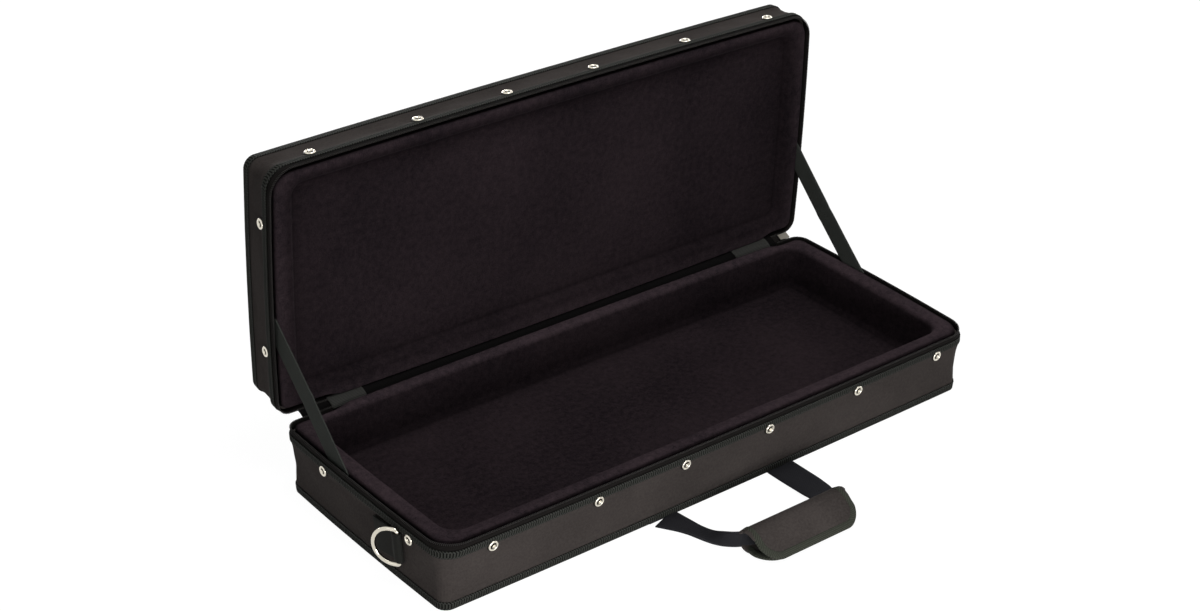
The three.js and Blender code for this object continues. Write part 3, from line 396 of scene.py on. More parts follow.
def woven_nylon(name, colour):
    """Polyamide basket weave, coated at the back: matt threads 0.9 mm apart, drawn a third coarser
    than the real ones so that they show, dull highlights on their crowns, and a faint cloudiness
    where the cloth has rubbed and creased."""
    material, tree = new_material(name)
    place = add(tree, "TexCoord")
    # At scale 1 the bands of a wave texture are pi / 10 m apart, and a band is two threads wide.
    # The detail scale is counted in bands, and roughens their edges far finer than a thread.
    thread = 0.9 * MM
    waved = {"Scale": np.pi / 10 / (2 * thread), "Distortion": 0.4, "Detail": 1}
    way = {"Vector": place.outputs["UV"]}
    bands = [
        add(tree, "TexWave", way, bands_direction=axis, Detail_Scale=300, **waved) for axis in "XY"
    ]
    crossed = {0: bands[0].outputs["Fac"], 1: bands[1].outputs["Fac"]}
    weave = add(tree, "Math", crossed, operation="MULTIPLY")
    spot = {"Vector": place.outputs["Object"]}
    cloud = add(tree, "TexNoise", spot, Scale=every(71.5), Detail=5)
    speck = add(tree, "TexNoise", spot, Scale=every(2.4), Detail=3)
    both = add(tree, "Math", {0: cloud, 1: speck})
    wear = add(tree, "Math", {0: both, 1: 0.5}, operation="MULTIPLY")
    tone = add(tree, "ValToRGB", {"Fac": wear})
    shade_ramp(tone, colour, 0.72, 1.25, (0.36, 0.64))
    # The colour inputs of a Mix node come after its plain and vector ones
    crowns = (*(np.array(linear(colour)[:3]) * 1.1), 1)
    threads = add(tree, "Mix", {0: weave, 6: tone, 7: crowns}, data_type="RGBA")
    height = add(tree, "Math", {0: weave, 1: speck})
    bump = add(tree, "Bump", {"Height": height}, Strength=0.22, Distance=0.4 * MM)
    skin = add(
        tree,
        "BsdfPrincipled",
        {"Base Color": threads.outputs[2], "Normal": bump},
        Roughness=0.8,
        IOR=1.53,
        Specular_IOR_Level=0.02,
        Sheen_Weight=0.02,
        Sheen_Roughness=0.5,
    )
    add(tree, "OutputMaterial", {"Surface": skin})
    return material


nylon = woven_nylon("basket_weave_nylon", "#403b39")


def cover_walls(half):
    """The wall strip as a closed shell: outer lines from under the rim binding down to the panel's
    seam, then inner lines back. Between its bindings the outer face lies slack, is drawn in round
    the corners, where less holds it out, and has a pit at each rivet."""
    height = HEIGHT[half]
    seed = 3 if half == "base" else 5
    drops = np.linspace(COVER_DROP + 1, height - 1.6, 40)
    drops = np.concatenate([[COVER_DROP], drops, [height - 0.6]])
    lines = np.stack([wall_line(half, drop) for drop in drops])
    around = lengths(lines[0])
    top, foot = 17, height - 10
    free = ease(drops, top, top + 7) * (1 - ease(drops, foot - 8, foot))
    slack = waves(around[None, :], drops[:, None] * 1.8, seed, 120)
    drape = waves(around[None, :] + drops[:, None] * 1.1, 0 * around[None, :], 8, 60, 4)
    at_end = ease(np.abs(lines[..., 0]), 330, 360)
    at_corner = at_end * ease(np.abs(lines[..., 1]), 70, 135)
    waist = np.sin(np.pi * np.clip((drops - top) / (foot - top), 0, 1))[:, None]
    depth = 0.35 * slack + 0.45 * at_end * drape - 1.5 * at_corner * waist - 0.15
    sag = (depth - 0.9 * rivet_pits(half, lines, drops)) * free[:, None]
    outer = lines + outward(lines) * np.clip(sag, -2.6, 0.6)[..., None]
    inner = np.stack([wall_line(half, drop, 3.4) for drop in drops])
    return np.concatenate([outer, inner[::-1]])


def panel_plate(half):
    """The flat panel as a closed shell. Rows run across the case, closer together near its long
    sides, each as long as the panel's outline is there; the edge lifts a little to its seam."""
    inset, rise = 3.0, 0.9
    reach_x, reach_y = PANEL["length"] / 2 - inset, PANEL["depth"] / 2 - inset
    radius = PANEL["radius"] - inset
    share_y = np.sin(np.linspace(-np.pi / 2, np.pi / 2, 64))[:, None]
    share_x = np.sin(np.linspace(-np.pi / 2, np.pi / 2, 150))[None, :]
    y = share_y * reach_y
    into = np.clip(np.abs(y) - (reach_y - radius), 0, radius)
    row_reach = reach_x - radius + np.sqrt(radius**2 - into**2)
    row_reach = row_reach + PANEL["end_bow"] * (1 - share_y**2)
    x = share_x * row_reach
    bowed = y + share_y * PANEL["bow"] * (1 - (x / reach_x) ** 2)
    edge = np.minimum(reach_y - np.abs(y), row_reach - np.abs(x))
    lift = rise * (1 - ease(edge, 0, 6))
    outer = np.stack([x, bowed, lift - HEIGHT[half]], -1)
    inner = outer[:, ::-1] + (0, 0, COVER_THICKNESS)
    return np.concatenate([outer, inner], 1)


for half in ("base", "lid"):
    cloth_piece(
        f"{half}_cover_walls",
        cloth_mesh(standing(half, cover_walls(half)), (True, True), False),
        nylon,
        half,
        "cover_nylon",
        f"{half}_cover",
        f"{half}_rim_band",
    )
    panel = panel_plate(half)
    x_y = np.concatenate([panel[..., :2], panel[:, :1, :2]], 1)
    cloth_piece(
        f"{half}_cover_panel", cloth_mesh(standing(half, panel), uv=x_y), nylon, half, "cover_nylon"
    )

# Linings
# Each half is lined with short-pile plush laid over its foam: a padded border with rolled edges,
# then drafted walls and a flat floor in the base, and a shallow recess in the lid.
LINING_SETBACK = 5.5
LINING_DROP = 1.0
LINING_SKIRT_DROP = 9.3
REAR_REACH = 3.5
REAR_RISE = 0.7
TRAY_EDGE = {"length": 692, "depth": 249, "radius": 21, "bow": 1.5, "end_bow": 1}
TRAY_FLOOR = {"length": 676, "depth": 232, "radius": 14, "bow": 1, "end_bow": 0.6}
RECESS_EDGE = {"length": 691, "depth": 244.5, "radius": 17, "bow": 1.2, "end_bow": 0.8}
RECESS_FLOOR = {"length": 683, "depth": 236.5, "radius": 13, "bow": 1, "end_bow": 0.6}
HOLLOW = {"base": (TRAY_EDGE, TRAY_FLOOR, 48, 6), "lid": (RECESS_EDGE, RECESS_FLOOR, 9, 3.5)}
HOLLOW_OFFSET = {"base": 4.2, "lid": -1.4}
EDGE_ROLL = {"base": 5.0, "lid": 3.5}
PLUSH_THICKNESS = 1.5


def lining_lines(half, deeper):
    """Lines from the skirt over the border and down the hollow to the middle of its floor. The two
    edges of the border and the foot of the walls are quarter rounds."""
    edge, floor, depth, cove = HOLLOW[half]
    roll, brow = 3.0 - deeper * 0.5, EDGE_ROLL[half] - deeper * 0.5
    top = LINING_DROP + deeper
    bottom = LINING_DROP + depth + deeper
    arc = np.linspace(0, np.pi / 2, 6)

    def skirt_line(drop, inset, rolled=0.0):
        line = wall_line(half, drop, inset)
        hinge = ease(line[:, 1], 120, 136) * (1 - ease(np.abs(line[:, 0] - 12), 300, 325))
        line[:, 1] += hinge * (REAR_REACH + rolled)
        line[:, 2] += hinge * REAR_RISE
        return line

    def hollow_line(drop, outset):
        share = (drop - LINING_DROP) / depth
        return outline(between(edge, floor, share), -outset, -drop) + (0, HOLLOW_OFFSET[half], 0)

    lines = [skirt_line(LINING_SKIRT_DROP, LINING_SETBACK + deeper)]
    for a in arc:
        out = LINING_SETBACK + deeper + roll * (1 - np.cos(a))
        lines.append(skirt_line(top + roll * (1 - np.sin(a)), out, 0.6 * roll * (1 - np.cos(a))))
    first = lines[-1]
    last = hollow_line(top, brow + deeper)
    for share in (0.2, 0.4, 0.6, 0.8):
        crown = 0.35 * (1 - (2 * share - 1) ** 2)
        lines.append(first + (last - first) * share + (0, 0, crown))
    for a in arc:
        lines.append(hollow_line(top + brow * (1 - np.cos(a)), deeper + brow * (1 - np.sin(a))))
    wall_top, wall_foot = top + brow, bottom - cove
    if wall_foot > wall_top + 2:
        for drop in np.linspace(wall_top, wall_foot, 12)[1:-1]:
            lines.append(hollow_line(drop, deeper))
    for a in arc:
        lines.append(hollow_line(bottom - cove * (1 - np.sin(a)), deeper - cove * (1 - np.cos(a))))
    rim = lines[-1]
    middle = rim.mean(0)
    for share in (0.97, 0.9, 0.8, 0.68, 0.54, 0.4, 0.26, 0.12, 0.02):
        lines.append(middle + (rim - middle) * share)
    return np.stack(lines)


def lining_shell(half):
    """The lining as a closed shell: its face and its back, the face with the pile's slack."""
    face = lining_lines(half, 0)
    back = lining_lines(half, PLUSH_THICKNESS)
    seed = 11 if half == "base" else 17
    along = face[..., 0] + face[..., 2] * 1.3
    slack = waves(along, face[..., 1] + face[..., 2] * 0.9, seed, 170, 8)
    free = ease(np.arange(len(face)), 6, 9)[:, None]
    amount = 0.45 * slack * free
    face = face - outward(face) * np.abs(amount)[..., None] * 0.5
    face[..., 2] += amount * 0.5
    return np.concatenate([face[::-1], back])


def painted_light_rows(rows, border, hollow):
    """Painted light and shade on each line of the lining's face: darker at the skirt, lighter over
    the padded border, painted shade on the hollow's walls and darker still along their foot, and
    the hollow's floor scaled by its own factor."""
    stops = (0, 4, 7, 12, 16, rows - 14, rows - 11, rows - 9, rows - 7)
    shades = (0.6, 1.0, border, border, 0.75, 0.75, 0.5, hollow * 0.85, hollow)
    return np.interp(np.arange(rows), stops, shades)


def plush(name, colour):
    """Brushed polyester plush with a 1.5 mm pile: almost no gloss, a velvety lift at grazing
    angles, tufts that clump every few millimetres and a broad shading where it was stroked. Its
    hairs are drawn as 1.6 mm grains, since single ones are too fine to show. Its colour is scaled
    by painted light and shade from a mesh attribute: lighter on the padded border, darker on the
    hollow's walls and along their foot."""
    material, tree = new_material(name)
    place = add(tree, "TexCoord")
    spot = {"Vector": place.outputs["Object"]}
    pile = add(tree, "TexNoise", spot, Scale=every(1.6), Detail=3)
    tufts = add(tree, "TexNoise", spot, Scale=every(6.25), Detail=4)
    stroked = add(tree, "TexNoise", spot, Scale=every(143), Detail=3)
    grain = add(tree, "Math", {0: pile, 1: tufts})
    mottle = add(tree, "Math", {0: grain, 1: stroked})
    third = add(tree, "Math", {0: mottle, 1: 3}, operation="DIVIDE")
    tone = add(tree, "ValToRGB", {"Fac": third})
    shade_ramp(tone, colour, (0.5, 0.5, 0.55), (1.7, 1.55, 1.6), (0.36, 0.64))
    bump = add(tree, "Bump", {"Height": grain}, Strength=0.6, Distance=1 * MM)
    painted_light_shade = add(tree, "Attribute", attribute_name="painted_light_shade")
    lit = {0: tone, "Scale": painted_light_shade.outputs["Fac"]}
    # The pile's tone times the painted light and shade of each line
    laid = add(tree, "VectorMath", lit, operation="SCALE")
    skin = add(
        tree,
        "BsdfPrincipled",
        {"Base Color": laid, "Normal": bump},
        Roughness=0.95,
        IOR=1.5,
        Specular_IOR_Level=0.01,
        Sheen_Weight=0.03,
        Sheen_Roughness=0.6,
        Sheen_Tint=linear("#8c7f86"),
    )
    add(tree, "OutputMaterial", {"Surface": skin})
    return material


lining_plush = plush("brushed_plush", "#231e20")
# Factors of painted light: over the padded border, and on the hollow's floor
for half, border, hollow in (("base", 2.1, 1.25), ("lid", 1.3, 1.0)):
    shell = lining_shell(half)
    mesh = cloth_mesh(standing(half, shell))
    # Painted light and shade per line of the face, the same for the back
    shades = painted_light_rows(len(shell) // 2, border, hollow)
    shades = np.repeat(np.concatenate([shades[::-1], shades]), shell.shape[1])
    mesh.attributes.new("painted_light_shade", "FLOAT", "POINT").data.foreach_set("value", shades)
    lining = cloth_piece(
        f"{half}_plush_lining",
        mesh,
        lining_plush,
        half,
        "plush_lining",
        f"{half}_lining",
        f"{half}_foam",
    )

# Bindings
# Herringbone polyester tape, 9 mm wide, is sewn round each rim under the zip and round each
# panel's edge, where it hides the raw seams. Both rows are stitched close to the tape's edges.
RIM_BINDING = (7.8, 16.5)
PANEL_BINDING = {half: (height - 10.0, height - 0.4) for half, height in HEIGHT.items()}
BINDING_LIFT = 0.3
BINDING_THICKNESS = 1.0
BINDING_RIB = 3.0
STITCH_PITCH = 4.2
STITCH_LENGTH = 2.6
STITCH_RADIUS = 0.28


def binding_hoop(half, top, foot):
    """A tape round the wall between two drops, with rounded edges. Its face carries the weave as
    ribs that slant to a ridge along the middle, and the stitches draw it in a little. Its UV map
    runs square to the ribs."""
    turn = np.linspace(0, 2 * np.pi, 18, endpoint=False)
    half_width = (foot - top) / 2
    thick = BINDING_THICKNESS / 2
    square = 0.35
    level = np.sign(np.cos(turn)) * np.abs(np.cos(turn)) ** square
    drops = (top + foot) / 2 + half_width * level
    outs = BINDING_LIFT + thick + thick * np.sign(np.sin(turn)) * np.abs(np.sin(turn)) ** square
    lines = np.stack([wall_line(half, drop, -out, 6) for drop, out in zip(drops, outs)])
    around = lengths(lines[0])
    slant = around + half_width * np.abs(level)[:, None]
    ribs = np.sin(2 * np.pi * slant / BINDING_RIB)
    pucker = waves(around[None, :], 0 * around[None, :], 23, 60)
    face = np.clip(np.sin(turn), 0, 1)[:, None] ** 0.5 * (0.09 * ribs + 0.1 * pucker)
    whole_way = np.append(around, around[1] + around[-1])
    whole_turn = half_width * np.abs(np.append(level, level[0]))
    along_ribs = whole_way + whole_turn[:, None]
    uv = np.stack([along_ribs, 0 * along_ribs], -1)
    return lines + outward(lines) * face[..., None], uv


def tape_weave(name, colour, rib, roughness, contrast):
    """Woven polyester or polypropylene tape: ribs a given distance apart along the UV map's first
    direction. They catch the light along their crowns, and wander a little as woven ribs do."""
    material, tree = new_material(name)
    place = add(tree, "TexCoord")
    split = add(tree, "SeparateXYZ", {0: place.outputs["UV"]})
    spot = {"Vector": place.outputs["Object"]}
    wobble = add(tree, "TexNoise", spot, Scale=every(11), Detail=2)
    turned = add(tree, "Math", {0: split, 1: 2 * np.pi / (rib * MM)}, operation="MULTIPLY")
    drift = add(tree, "Math", {0: wobble, 1: turned})
    ribs = add(tree, "Math", {0: drift}, operation="SINE")
    crowns = add(tree, "MapRange", {"Value": ribs}, From_Min=-1)
    fine = add(tree, "TexNoise", spot, Scale=every(0.9), Detail=2)
    height = add(tree, "Math", {0: crowns, 1: fine})
    tone = add(tree, "ValToRGB", {"Fac": crowns})
    shade_ramp(tone, colour, 1 - 0.6 * contrast, 1 + 0.6 * contrast)
    bump = add(tree, "Bump", {"Height": height}, Strength=0.5, Distance=0.5 * MM)
    skin = add(
        tree,
        "BsdfPrincipled",
        {"Base Color": tone, "Normal": bump},
        Roughness=roughness,
        IOR=1.57,
        Specular_IOR_Level=0.03,
    )
    add(tree, "OutputMaterial", {"Surface": skin})
    return material


herringbone = tape_weave("herringbone_polyester_tape", "#2c2d2a", BINDING_RIB, 0.75, 1.5)
# The grip's binding is the same herringbone, drawn lighter and with fainter ribs: painted light, as
# the grip catches more light than the walls
grip_herringbone_painted_light = tape_weave("grip_binding_tape_painted_light", "#3c3e37", BINDING_RIB, 0.75, 0.45)


def stitch_row(line):
    """The points of a row of stitches round a closed line on the wall, [stitch, ring, corner]: each
    is a spindle of thread with a square section, thickest over its middle half."""
    path = np.concatenate([line, line[:1]])
    room = lengths(path)[-1] - STITCH_LENGTH
    starts = np.linspace(0, room, int(room // STITCH_PITCH) + 1)
    spread = np.array([0, 0.22, 0.78, 1.0])
    size = np.array([0.25, 1, 1, 0.25]) * STITCH_RADIUS
    centre = taken_at(path, starts[:, None] + spread * STITCH_LENGTH)
    rise = np.array((0.0, 0.0, 1.0))
    out = np.cross(unit(centre[:, -1] - centre[:, 0]), rise)
    turn = np.pi / 2 * np.arange(4)[:, None]
    ring = np.cos(turn) * rise + np.sin(turn) * out[:, None, None]
    return centre[:, :, None] + ring * size[:, None, None]


def tubes_mesh(half, points):
    """One mesh of like tubes closed at both ends, from points on a half, [tube, ring, corner]."""
    count, rings, sides = points.shape[:3]
    index = np.arange(rings * sides).reshape(rings, sides)
    first = np.arange(count)[:, None, None] * index.size
    quads = corners_of(np.append(index, index[:, :1], 1)).reshape(-1, 4)
    faces = (first + quads).reshape(-1, 4)
    ends = (first + np.stack([index[0][::-1], index[-1]])).reshape(-1, sides)
    points = standing(half, points).reshape(-1, 3)
    if volume_of(points, faces) + volume_of(points, ends) < 0:
        faces, ends = faces[:, ::-1], ends[:, ::-1]
    return smooth_mesh(points, faces.tolist() + ends.tolist())


def sewing_thread(name, colour):
    """Bonded nylon sewing thread, waxed, a little glossier than the cloth round it."""
    material, tree = new_material(name)
    place = add(tree, "TexCoord")
    spot = {"Vector": place.outputs["Object"]}
    fibre = add(tree, "TexNoise", spot, Scale=every(1.4), Detail=2)
    tone = add(tree, "ValToRGB", {"Fac": fibre})
    shade_ramp(tone, colour, 0.7, 1.3)
    skin = add(tree, "BsdfPrincipled", {"Base Color": tone}, Roughness=0.55, IOR=1.53)
    add(tree, "OutputMaterial", {"Surface": skin})
    return material


thread = sewing_thread("bonded_nylon_thread", "#1c1c1a")
for half in ("base", "lid"):
    panel_name = "base_bottom_binding" if half == "base" else "lid_edge_binding"
    for piece, node, (top, foot) in (
        ("rim_tape", f"{half}_rim_binding", RIM_BINDING),
        ("panel_tape", panel_name, PANEL_BINDING[half]),
    ):
        hoop, slant = binding_hoop(half, top, foot)
        cloth_piece(
            f"{half}_{piece}",
            cloth_mesh(standing(half, hoop), (True, True), False, slant),
            herringbone,
            half,
            "binding_tape",
            node,
        )
    on_tape = -(BINDING_LIFT + BINDING_THICKNESS)
    rows = (RIM_BINDING[0] + 1.3, RIM_BINDING[1] - 1.3, PANEL_BINDING[half][0] + 1.4)
    stitches = np.concatenate([stitch_row(wall_line(half, drop, on_tape)) for drop in rows])
    mesh = tubes_mesh(half, stitches)
    cloth_piece(f"{half}_binding_stitches", mesh, thread, half, "binding_tape")

# Zip
# A coil zip runs from the rear left round three sides to the rear right: on each half a woven tape
# stands in line with the cover, and a nylon coil of 2 mm turns is wound and sewn round its edge.
ZIP_LEFT, ZIP_RIGHT = -310.0, 334.0
TAPE_DROP = 0.5
TAPE_THICKNESS = 0.8
COIL_PITCH = 1.95
COIL_RADII = (0.86, 0.96)
COIL_WIRE = 0.27


def zip_line(half, drop, inset, count=560):
    """The wall's line in even steps from the zip's rear left end, round the front, to its other."""
    line = wall_line(half, drop, inset)
    line = np.concatenate([line, line[:1]])
    places = lengths(line)
    rear = slice(-SIDE_STEPS - 1, None)
    first, last = np.interp((-ZIP_LEFT, -ZIP_RIGHT), -line[rear, 0], places[rear])
    return taken_at(line, np.linspace(first - places[-1], last, count) % places[-1])


def zip_tape(half):
    """The tape as a closed strip, its rows along the zip: each runs from the coil down the inner
    face to the cover's edge, and back up the outer one."""
    profile = [
        (TAPE_DROP, 0.2),
        (TAPE_DROP, TAPE_THICKNESS - 0.2),
        (5, TAPE_THICKNESS),
        (COVER_DROP, TAPE_THICKNESS),
        (COVER_DROP, 0),
        (5, 0),
    ]
    return np.stack([zip_line(half, drop, inset) for drop, inset in profile], 1)


def coil(half):
    """The coil as one tube, its rows along the wire. The wire winds round the tape's edge in
    ellipses, and has a pentagon for a section."""
    line = zip_line(half, 1.15, TAPE_THICKNESS / 2)
    whole = lengths(line)[-1]
    steps = int(whole / COIL_PITCH * 9)
    at = np.linspace(0, whole, steps)
    centre = taken_at(line, at)
    run = unit(np.gradient(centre, axis=0))
    out = COIL_RADII[0] * np.stack([run[:, 1], -run[:, 0], np.zeros(steps)], -1)
    up = COIL_RADII[1] * np.array((0.0, 0.0, 1.0))
    turn = 2 * np.pi * at[:, None] / COIL_PITCH
    radial = np.cos(turn) * out + np.sin(turn) * up
    wire = centre + radial
    normal = unit(radial)
    side = np.cross(unit(np.gradient(wire, axis=0)), normal)
    ring = 2 * np.pi * np.arange(5)[:, None] / 5
    across = np.cos(ring) * normal[:, None] + np.sin(ring) * side[:, None]
    return wire[:, None] + COIL_WIRE * across


def moulded(name, colour, roughness, ior, shine):
    """A smooth plastic or oxide with a fine mottle in its gloss from handling."""
    material, tree = new_material(name)
    place = add(tree, "TexCoord")
    spot = {"Vector": place.outputs["Object"]}
    mottle = add(tree, "TexNoise", spot, Scale=every(2), Detail=3)
    dull = add(tree, "MapRange", {"Value": mottle}, To_Min=roughness * 0.8, To_Max=roughness * 1.25)
    skin = add(
        tree,
        "BsdfPrincipled",
        {"Roughness": dull},
        Base_Color=linear(colour),
        IOR=ior,
        Specular_IOR_Level=shine,
    )
    add(tree, "OutputMaterial", {"Surface": skin})
    return material


zip_weave = tape_weave("woven_zip_tape", "#1b1918", 1.6, 0.8, 0.5)
coil_nylon = moulded("polyamide_coil", "#3c3a39", 0.55, 1.53, 0.06)
for half in ("base", "lid"):
    cloth_piece(
        f"{half}_zip_tape",
        cloth_mesh(standing(half, zip_tape(half))),
        zip_weave,
        half,
        "zip_tape",
        f"{half}_zipper_tape",
    )
    cloth_piece(
        f"{half}_zip_coil",
        cloth_mesh(standing(half, coil(half))),
        coil_nylon,
        half,
        "zip_coil",
        f"{half}_zipper_coil",
    )

# Rivets
# Tubular rivets hold the cover to a stiff strip inside the rim. Each has a blackened washer and a
# bright nickel cup whose rolled ring stands round a groove and the rivet's hollow end.
WASHER_PROFILE = ((0.2, 0.1), (6.7, 0.1), (7.0, 0.4), (6.8, 0.75), (6.2, 0.9), (0.2, 0.9))
CUP_PROFILE = (
    (0.2, 0.7), (5.8, 0.7), (6.0, 1.0), (5.95, 1.5), (5.7, 2.0), (5.2, 2.4), (4.6, 2.5), (4.1, 2.3),
    (3.8, 1.9), (3.6, 1.2), (3.1, 1.0), (2.8, 1.3), (2.6, 2.0), (2.3, 2.5), (1.8, 2.7), (1.4, 2.5),
    (1.15, 1.9), (1.0, 1.0), (0.2, 0.95),
)
# Distances along the cup's profile, and whether it is painted dark there, as painted shade in its
# groove and its middle
CUP_PAINTED_SHADE = (
    (0, False), (9.7, False), (10.3, True), (12.3, True), (12.9, False), (15.7, False),
    (16.3, True), (20.35, True),
)


def wall_point(half, side, along, drop, out=0.0):
    """A place on a wall, for arrays of distances along it and drops: on the front and rear walls
    along is x, and on the end walls it is y."""
    along, drop = np.broadcast_arrays(np.asarray(along, float), np.asarray(drop, float))
    size = between(RIM, PANEL, drop / HEIGHT[half])
    sign = 1 if side in ("rear", "right") else -1
    if side in ("front", "rear"):
        straight = size["length"] / 2 - size["radius"]
        reach = size["depth"] / 2 + size["bow"] * (1 - (along / straight) ** 2)
        return np.stack([along, sign * (reach + out), -drop], -1)
    straight = size["depth"] / 2 - size["radius"]
    reach = size["length"] / 2 + size["end_bow"] * (1 - (along / straight) ** 2)
    return np.stack([sign * (reach + out), along, -drop], -1)


def on_wall(half, side, along, drop):
    """A place on a wall with its three directions: along the wall, up to the mouth and outwards."""
    step = 3.0
    place = wall_point(half, side, along, drop)
    run = wall_point(half, side, along + step, drop) - wall_point(half, side, along - step, drop)
    rise = wall_point(half, side, along, drop - step) - wall_point(half, side, along, drop + step)
    run, rise = unit(run), unit(rise)
    out = np.cross(run, rise)
    out *= np.sign(out @ (wall_point(half, side, along, drop, 1.0) - place))
    return place, run, rise, out


def turned_mesh(half, profile, frames, sides):
    """One mesh of like turned parts: a profile of radius and height carried round each frame's
    outward axis and closed at both ends. Its UV map holds the distance along the profile."""
    radius, height = np.array(profile, float).T
    turn = 2 * np.pi * np.arange(sides)[:, None] / sides
    place, run, rise, out = (np.array(part) for part in zip(*frames))
    ring = np.cos(turn) * run[:, None] + np.sin(turn) * rise[:, None]
    points = (
        place[:, None, None]
        + radius[:, None, None] * ring[:, None]
        + height[:, None, None] * out[:, None, None]
    )
    mesh = tubes_mesh(half, points)
    corners = np.empty(len(mesh.loops), int)
    mesh.loops.foreach_get("vertex_index", corners)
    gone = np.repeat(lengths(np.array(profile, float)), sides)
    gone = gone[corners % len(gone)]
    uv = np.stack([0 * gone, gone * MM], -1)
    mesh.uv_layers.new(name="profile").data.foreach_set("uv", uv.ravel())
    return mesh


def rivet_frames(half):
    """Where a half's rivets are, with each one's three directions."""
    drop = RIVET_DROP[half]
    frames = [on_wall(half, "front", x, drop) for x in RIVET_PLACES["front"]]
    frames += [on_wall(half, "rear", x, drop) for x in RIVET_PLACES["rear"]]
    for y in RIVET_PLACES[half + "_end"]:
        frames += [on_wall(half, side, y, drop) for side in ("left", "right")]
    return frames


def plated_metal(name, colour, roughness, painted_shade=()):
    """Bright nickel plate on pressed steel: a warm mirror, cut by fine wiping scratches. Where it is
    painted dark, as painted shade, is given by distance along the profile, which the UV map holds."""
    material, tree = new_material(name)
    place = add(tree, "TexCoord")
    spot = {"Vector": place.outputs["Object"]}
    scratch = add(tree, "TexNoise", spot, Scale=every(2.4), Detail=4)
    dull = add(tree, "MapRange", {"Value": scratch}, To_Min=roughness * 0.6, To_Max=roughness * 1.5)
    bump = add(tree, "Bump", {"Height": scratch}, Strength=0.05, Distance=0.2 * MM)
    surface = linear(colour)
    # Painted shade: the colour turns dark along the given stretches of the profile
    if painted_shade:
        shades = {False: linear(colour), True: linear("#1d1810")}
        whole = painted_shade[-1][0]
        split = add(tree, "SeparateXYZ", {0: place.outputs["UV"]})
        gone = {"Value": split.outputs["Y"]}
        reach = add(tree, "MapRange", gone, From_Max=whole * MM)
        tone = add(tree, "ValToRGB", {"Fac": reach})
        stops = tone.color_ramp.elements
        stops[0].color = shades[painted_shade[0][1]]
        stops[1].color = shades[painted_shade[-1][1]]
        for at, in_shade in painted_shade[1:-1]:
            stops.new(at / whole).color = shades[in_shade]
        surface = tone
    skin = add(
        tree,
        "BsdfPrincipled",
        {"Base Color": surface, "Roughness": dull, "Normal": bump},
        Metallic=1,
    )
    add(tree, "OutputMaterial", {"Surface": skin})
    return material


nickel = plated_metal("bright_nickel_plate", "#cfc9bb", 0.13)
dull_nickel = plated_metal("dull_nickel_plate", "#7a766e", 0.3)
# The cups carry painted shade in their groove and middle
cup_nickel = plated_metal("cup_nickel_painted_shade", "#d8d2c4", 0.22, CUP_PAINTED_SHADE)
black_oxide = moulded("black_oxide_steel", "#16140f", 0.4, 1.5, 0.1)
for half in ("base", "lid"):
    frames = rivet_frames(half)
    rivets = sorted(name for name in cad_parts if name.startswith(f"{half}_rivet"))
    cloth_piece(
        f"{half}_rivet_cups",
        turned_mesh(half, CUP_PROFILE, frames, 40),
        cup_nickel,
        half,
        "nickel_plate",
        *rivets,
    )
    cloth_piece(
        f"{half}_rivet_washers",
        turned_mesh(half, WASHER_PROFILE, frames, 32),
        black_oxide,
        half,
        "nickel_plate",
    )

# Hinge
# The halves are joined along the rear by a folded strip of the cover's nylon, coloured near black
# as painted shade for the deep gap between them. Two short pieces of webbing are sewn over the
# ends of the zip, and the nickel slider is parked at the right end.
GUSSET_THICKNESS = 0.6
GUSSET_FULLNESS = 6.0
TAB_THICKNESS = 1.1


def hinge_line(x, share):
    """The gusset's outer face: a cubic curve from the base's rear wall over to the lid's, which
    leaves both rims square to their mouths. Arrays of x and of shares of the way across."""
    drop = 7.5
    ends = []
    for half in ("base", "lid"):
        low = wall_point(half, "rear", x, drop)
        ends += [standing(half, low), standing(half, low + (0, 0, GUSSET_FULLNESS))]
    start, leave, end, arrive = ends
    t = np.asarray(share)[..., None]
    return (
        start * (1 - t) ** 3
        + 3 * leave * t * (1 - t) ** 2
        + 3 * arrive * t**2 * (1 - t)
        + end * t**3
    )


def hinge_strip(first_x, last_x, spans, inset, thickness, steps):
    """A closed strip laid on the hinge line between two places along it, covering a span of shares
    that may change from its first end to its last."""
    low, high = np.linspace(spans[0], spans[1], steps).T[..., None]
    shares = low + (high - low) * np.linspace(0, 1, 13)
    x = np.broadcast_to(np.linspace(first_x, last_x, steps)[:, None], shares.shape)
    face = hinge_line(x, shares)
    ahead = hinge_line(x, shares + 0.01) - hinge_line(x, shares - 0.01)
    inward = unit(np.stack([0 * x, -ahead[..., 2], ahead[..., 1]], -1))
    outer, inner = face + inward * inset, face + inward * (inset + thickness)
    return np.concatenate([outer, inner[:, ::-1]], 1)


webbing = tape_weave("ribbed_polypropylene_webbing", "#333331", 1.7, 0.66, 0.55)
# Near black: painted shade for the deep gap between the halves
hinge_shade_cloth = tape_weave("hinge_cloth_painted_shade", "#0c0b0b", 1.6, 0.9, 0.5)


def hinge_piece(name, strip, material, slot, *nodes):
    """A piece on the hinge line, from the base over to the lid."""
    piece = cloth_piece(name, cloth_mesh(hinge_strip(*strip)), material, None, slot, *nodes)
    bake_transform(piece)


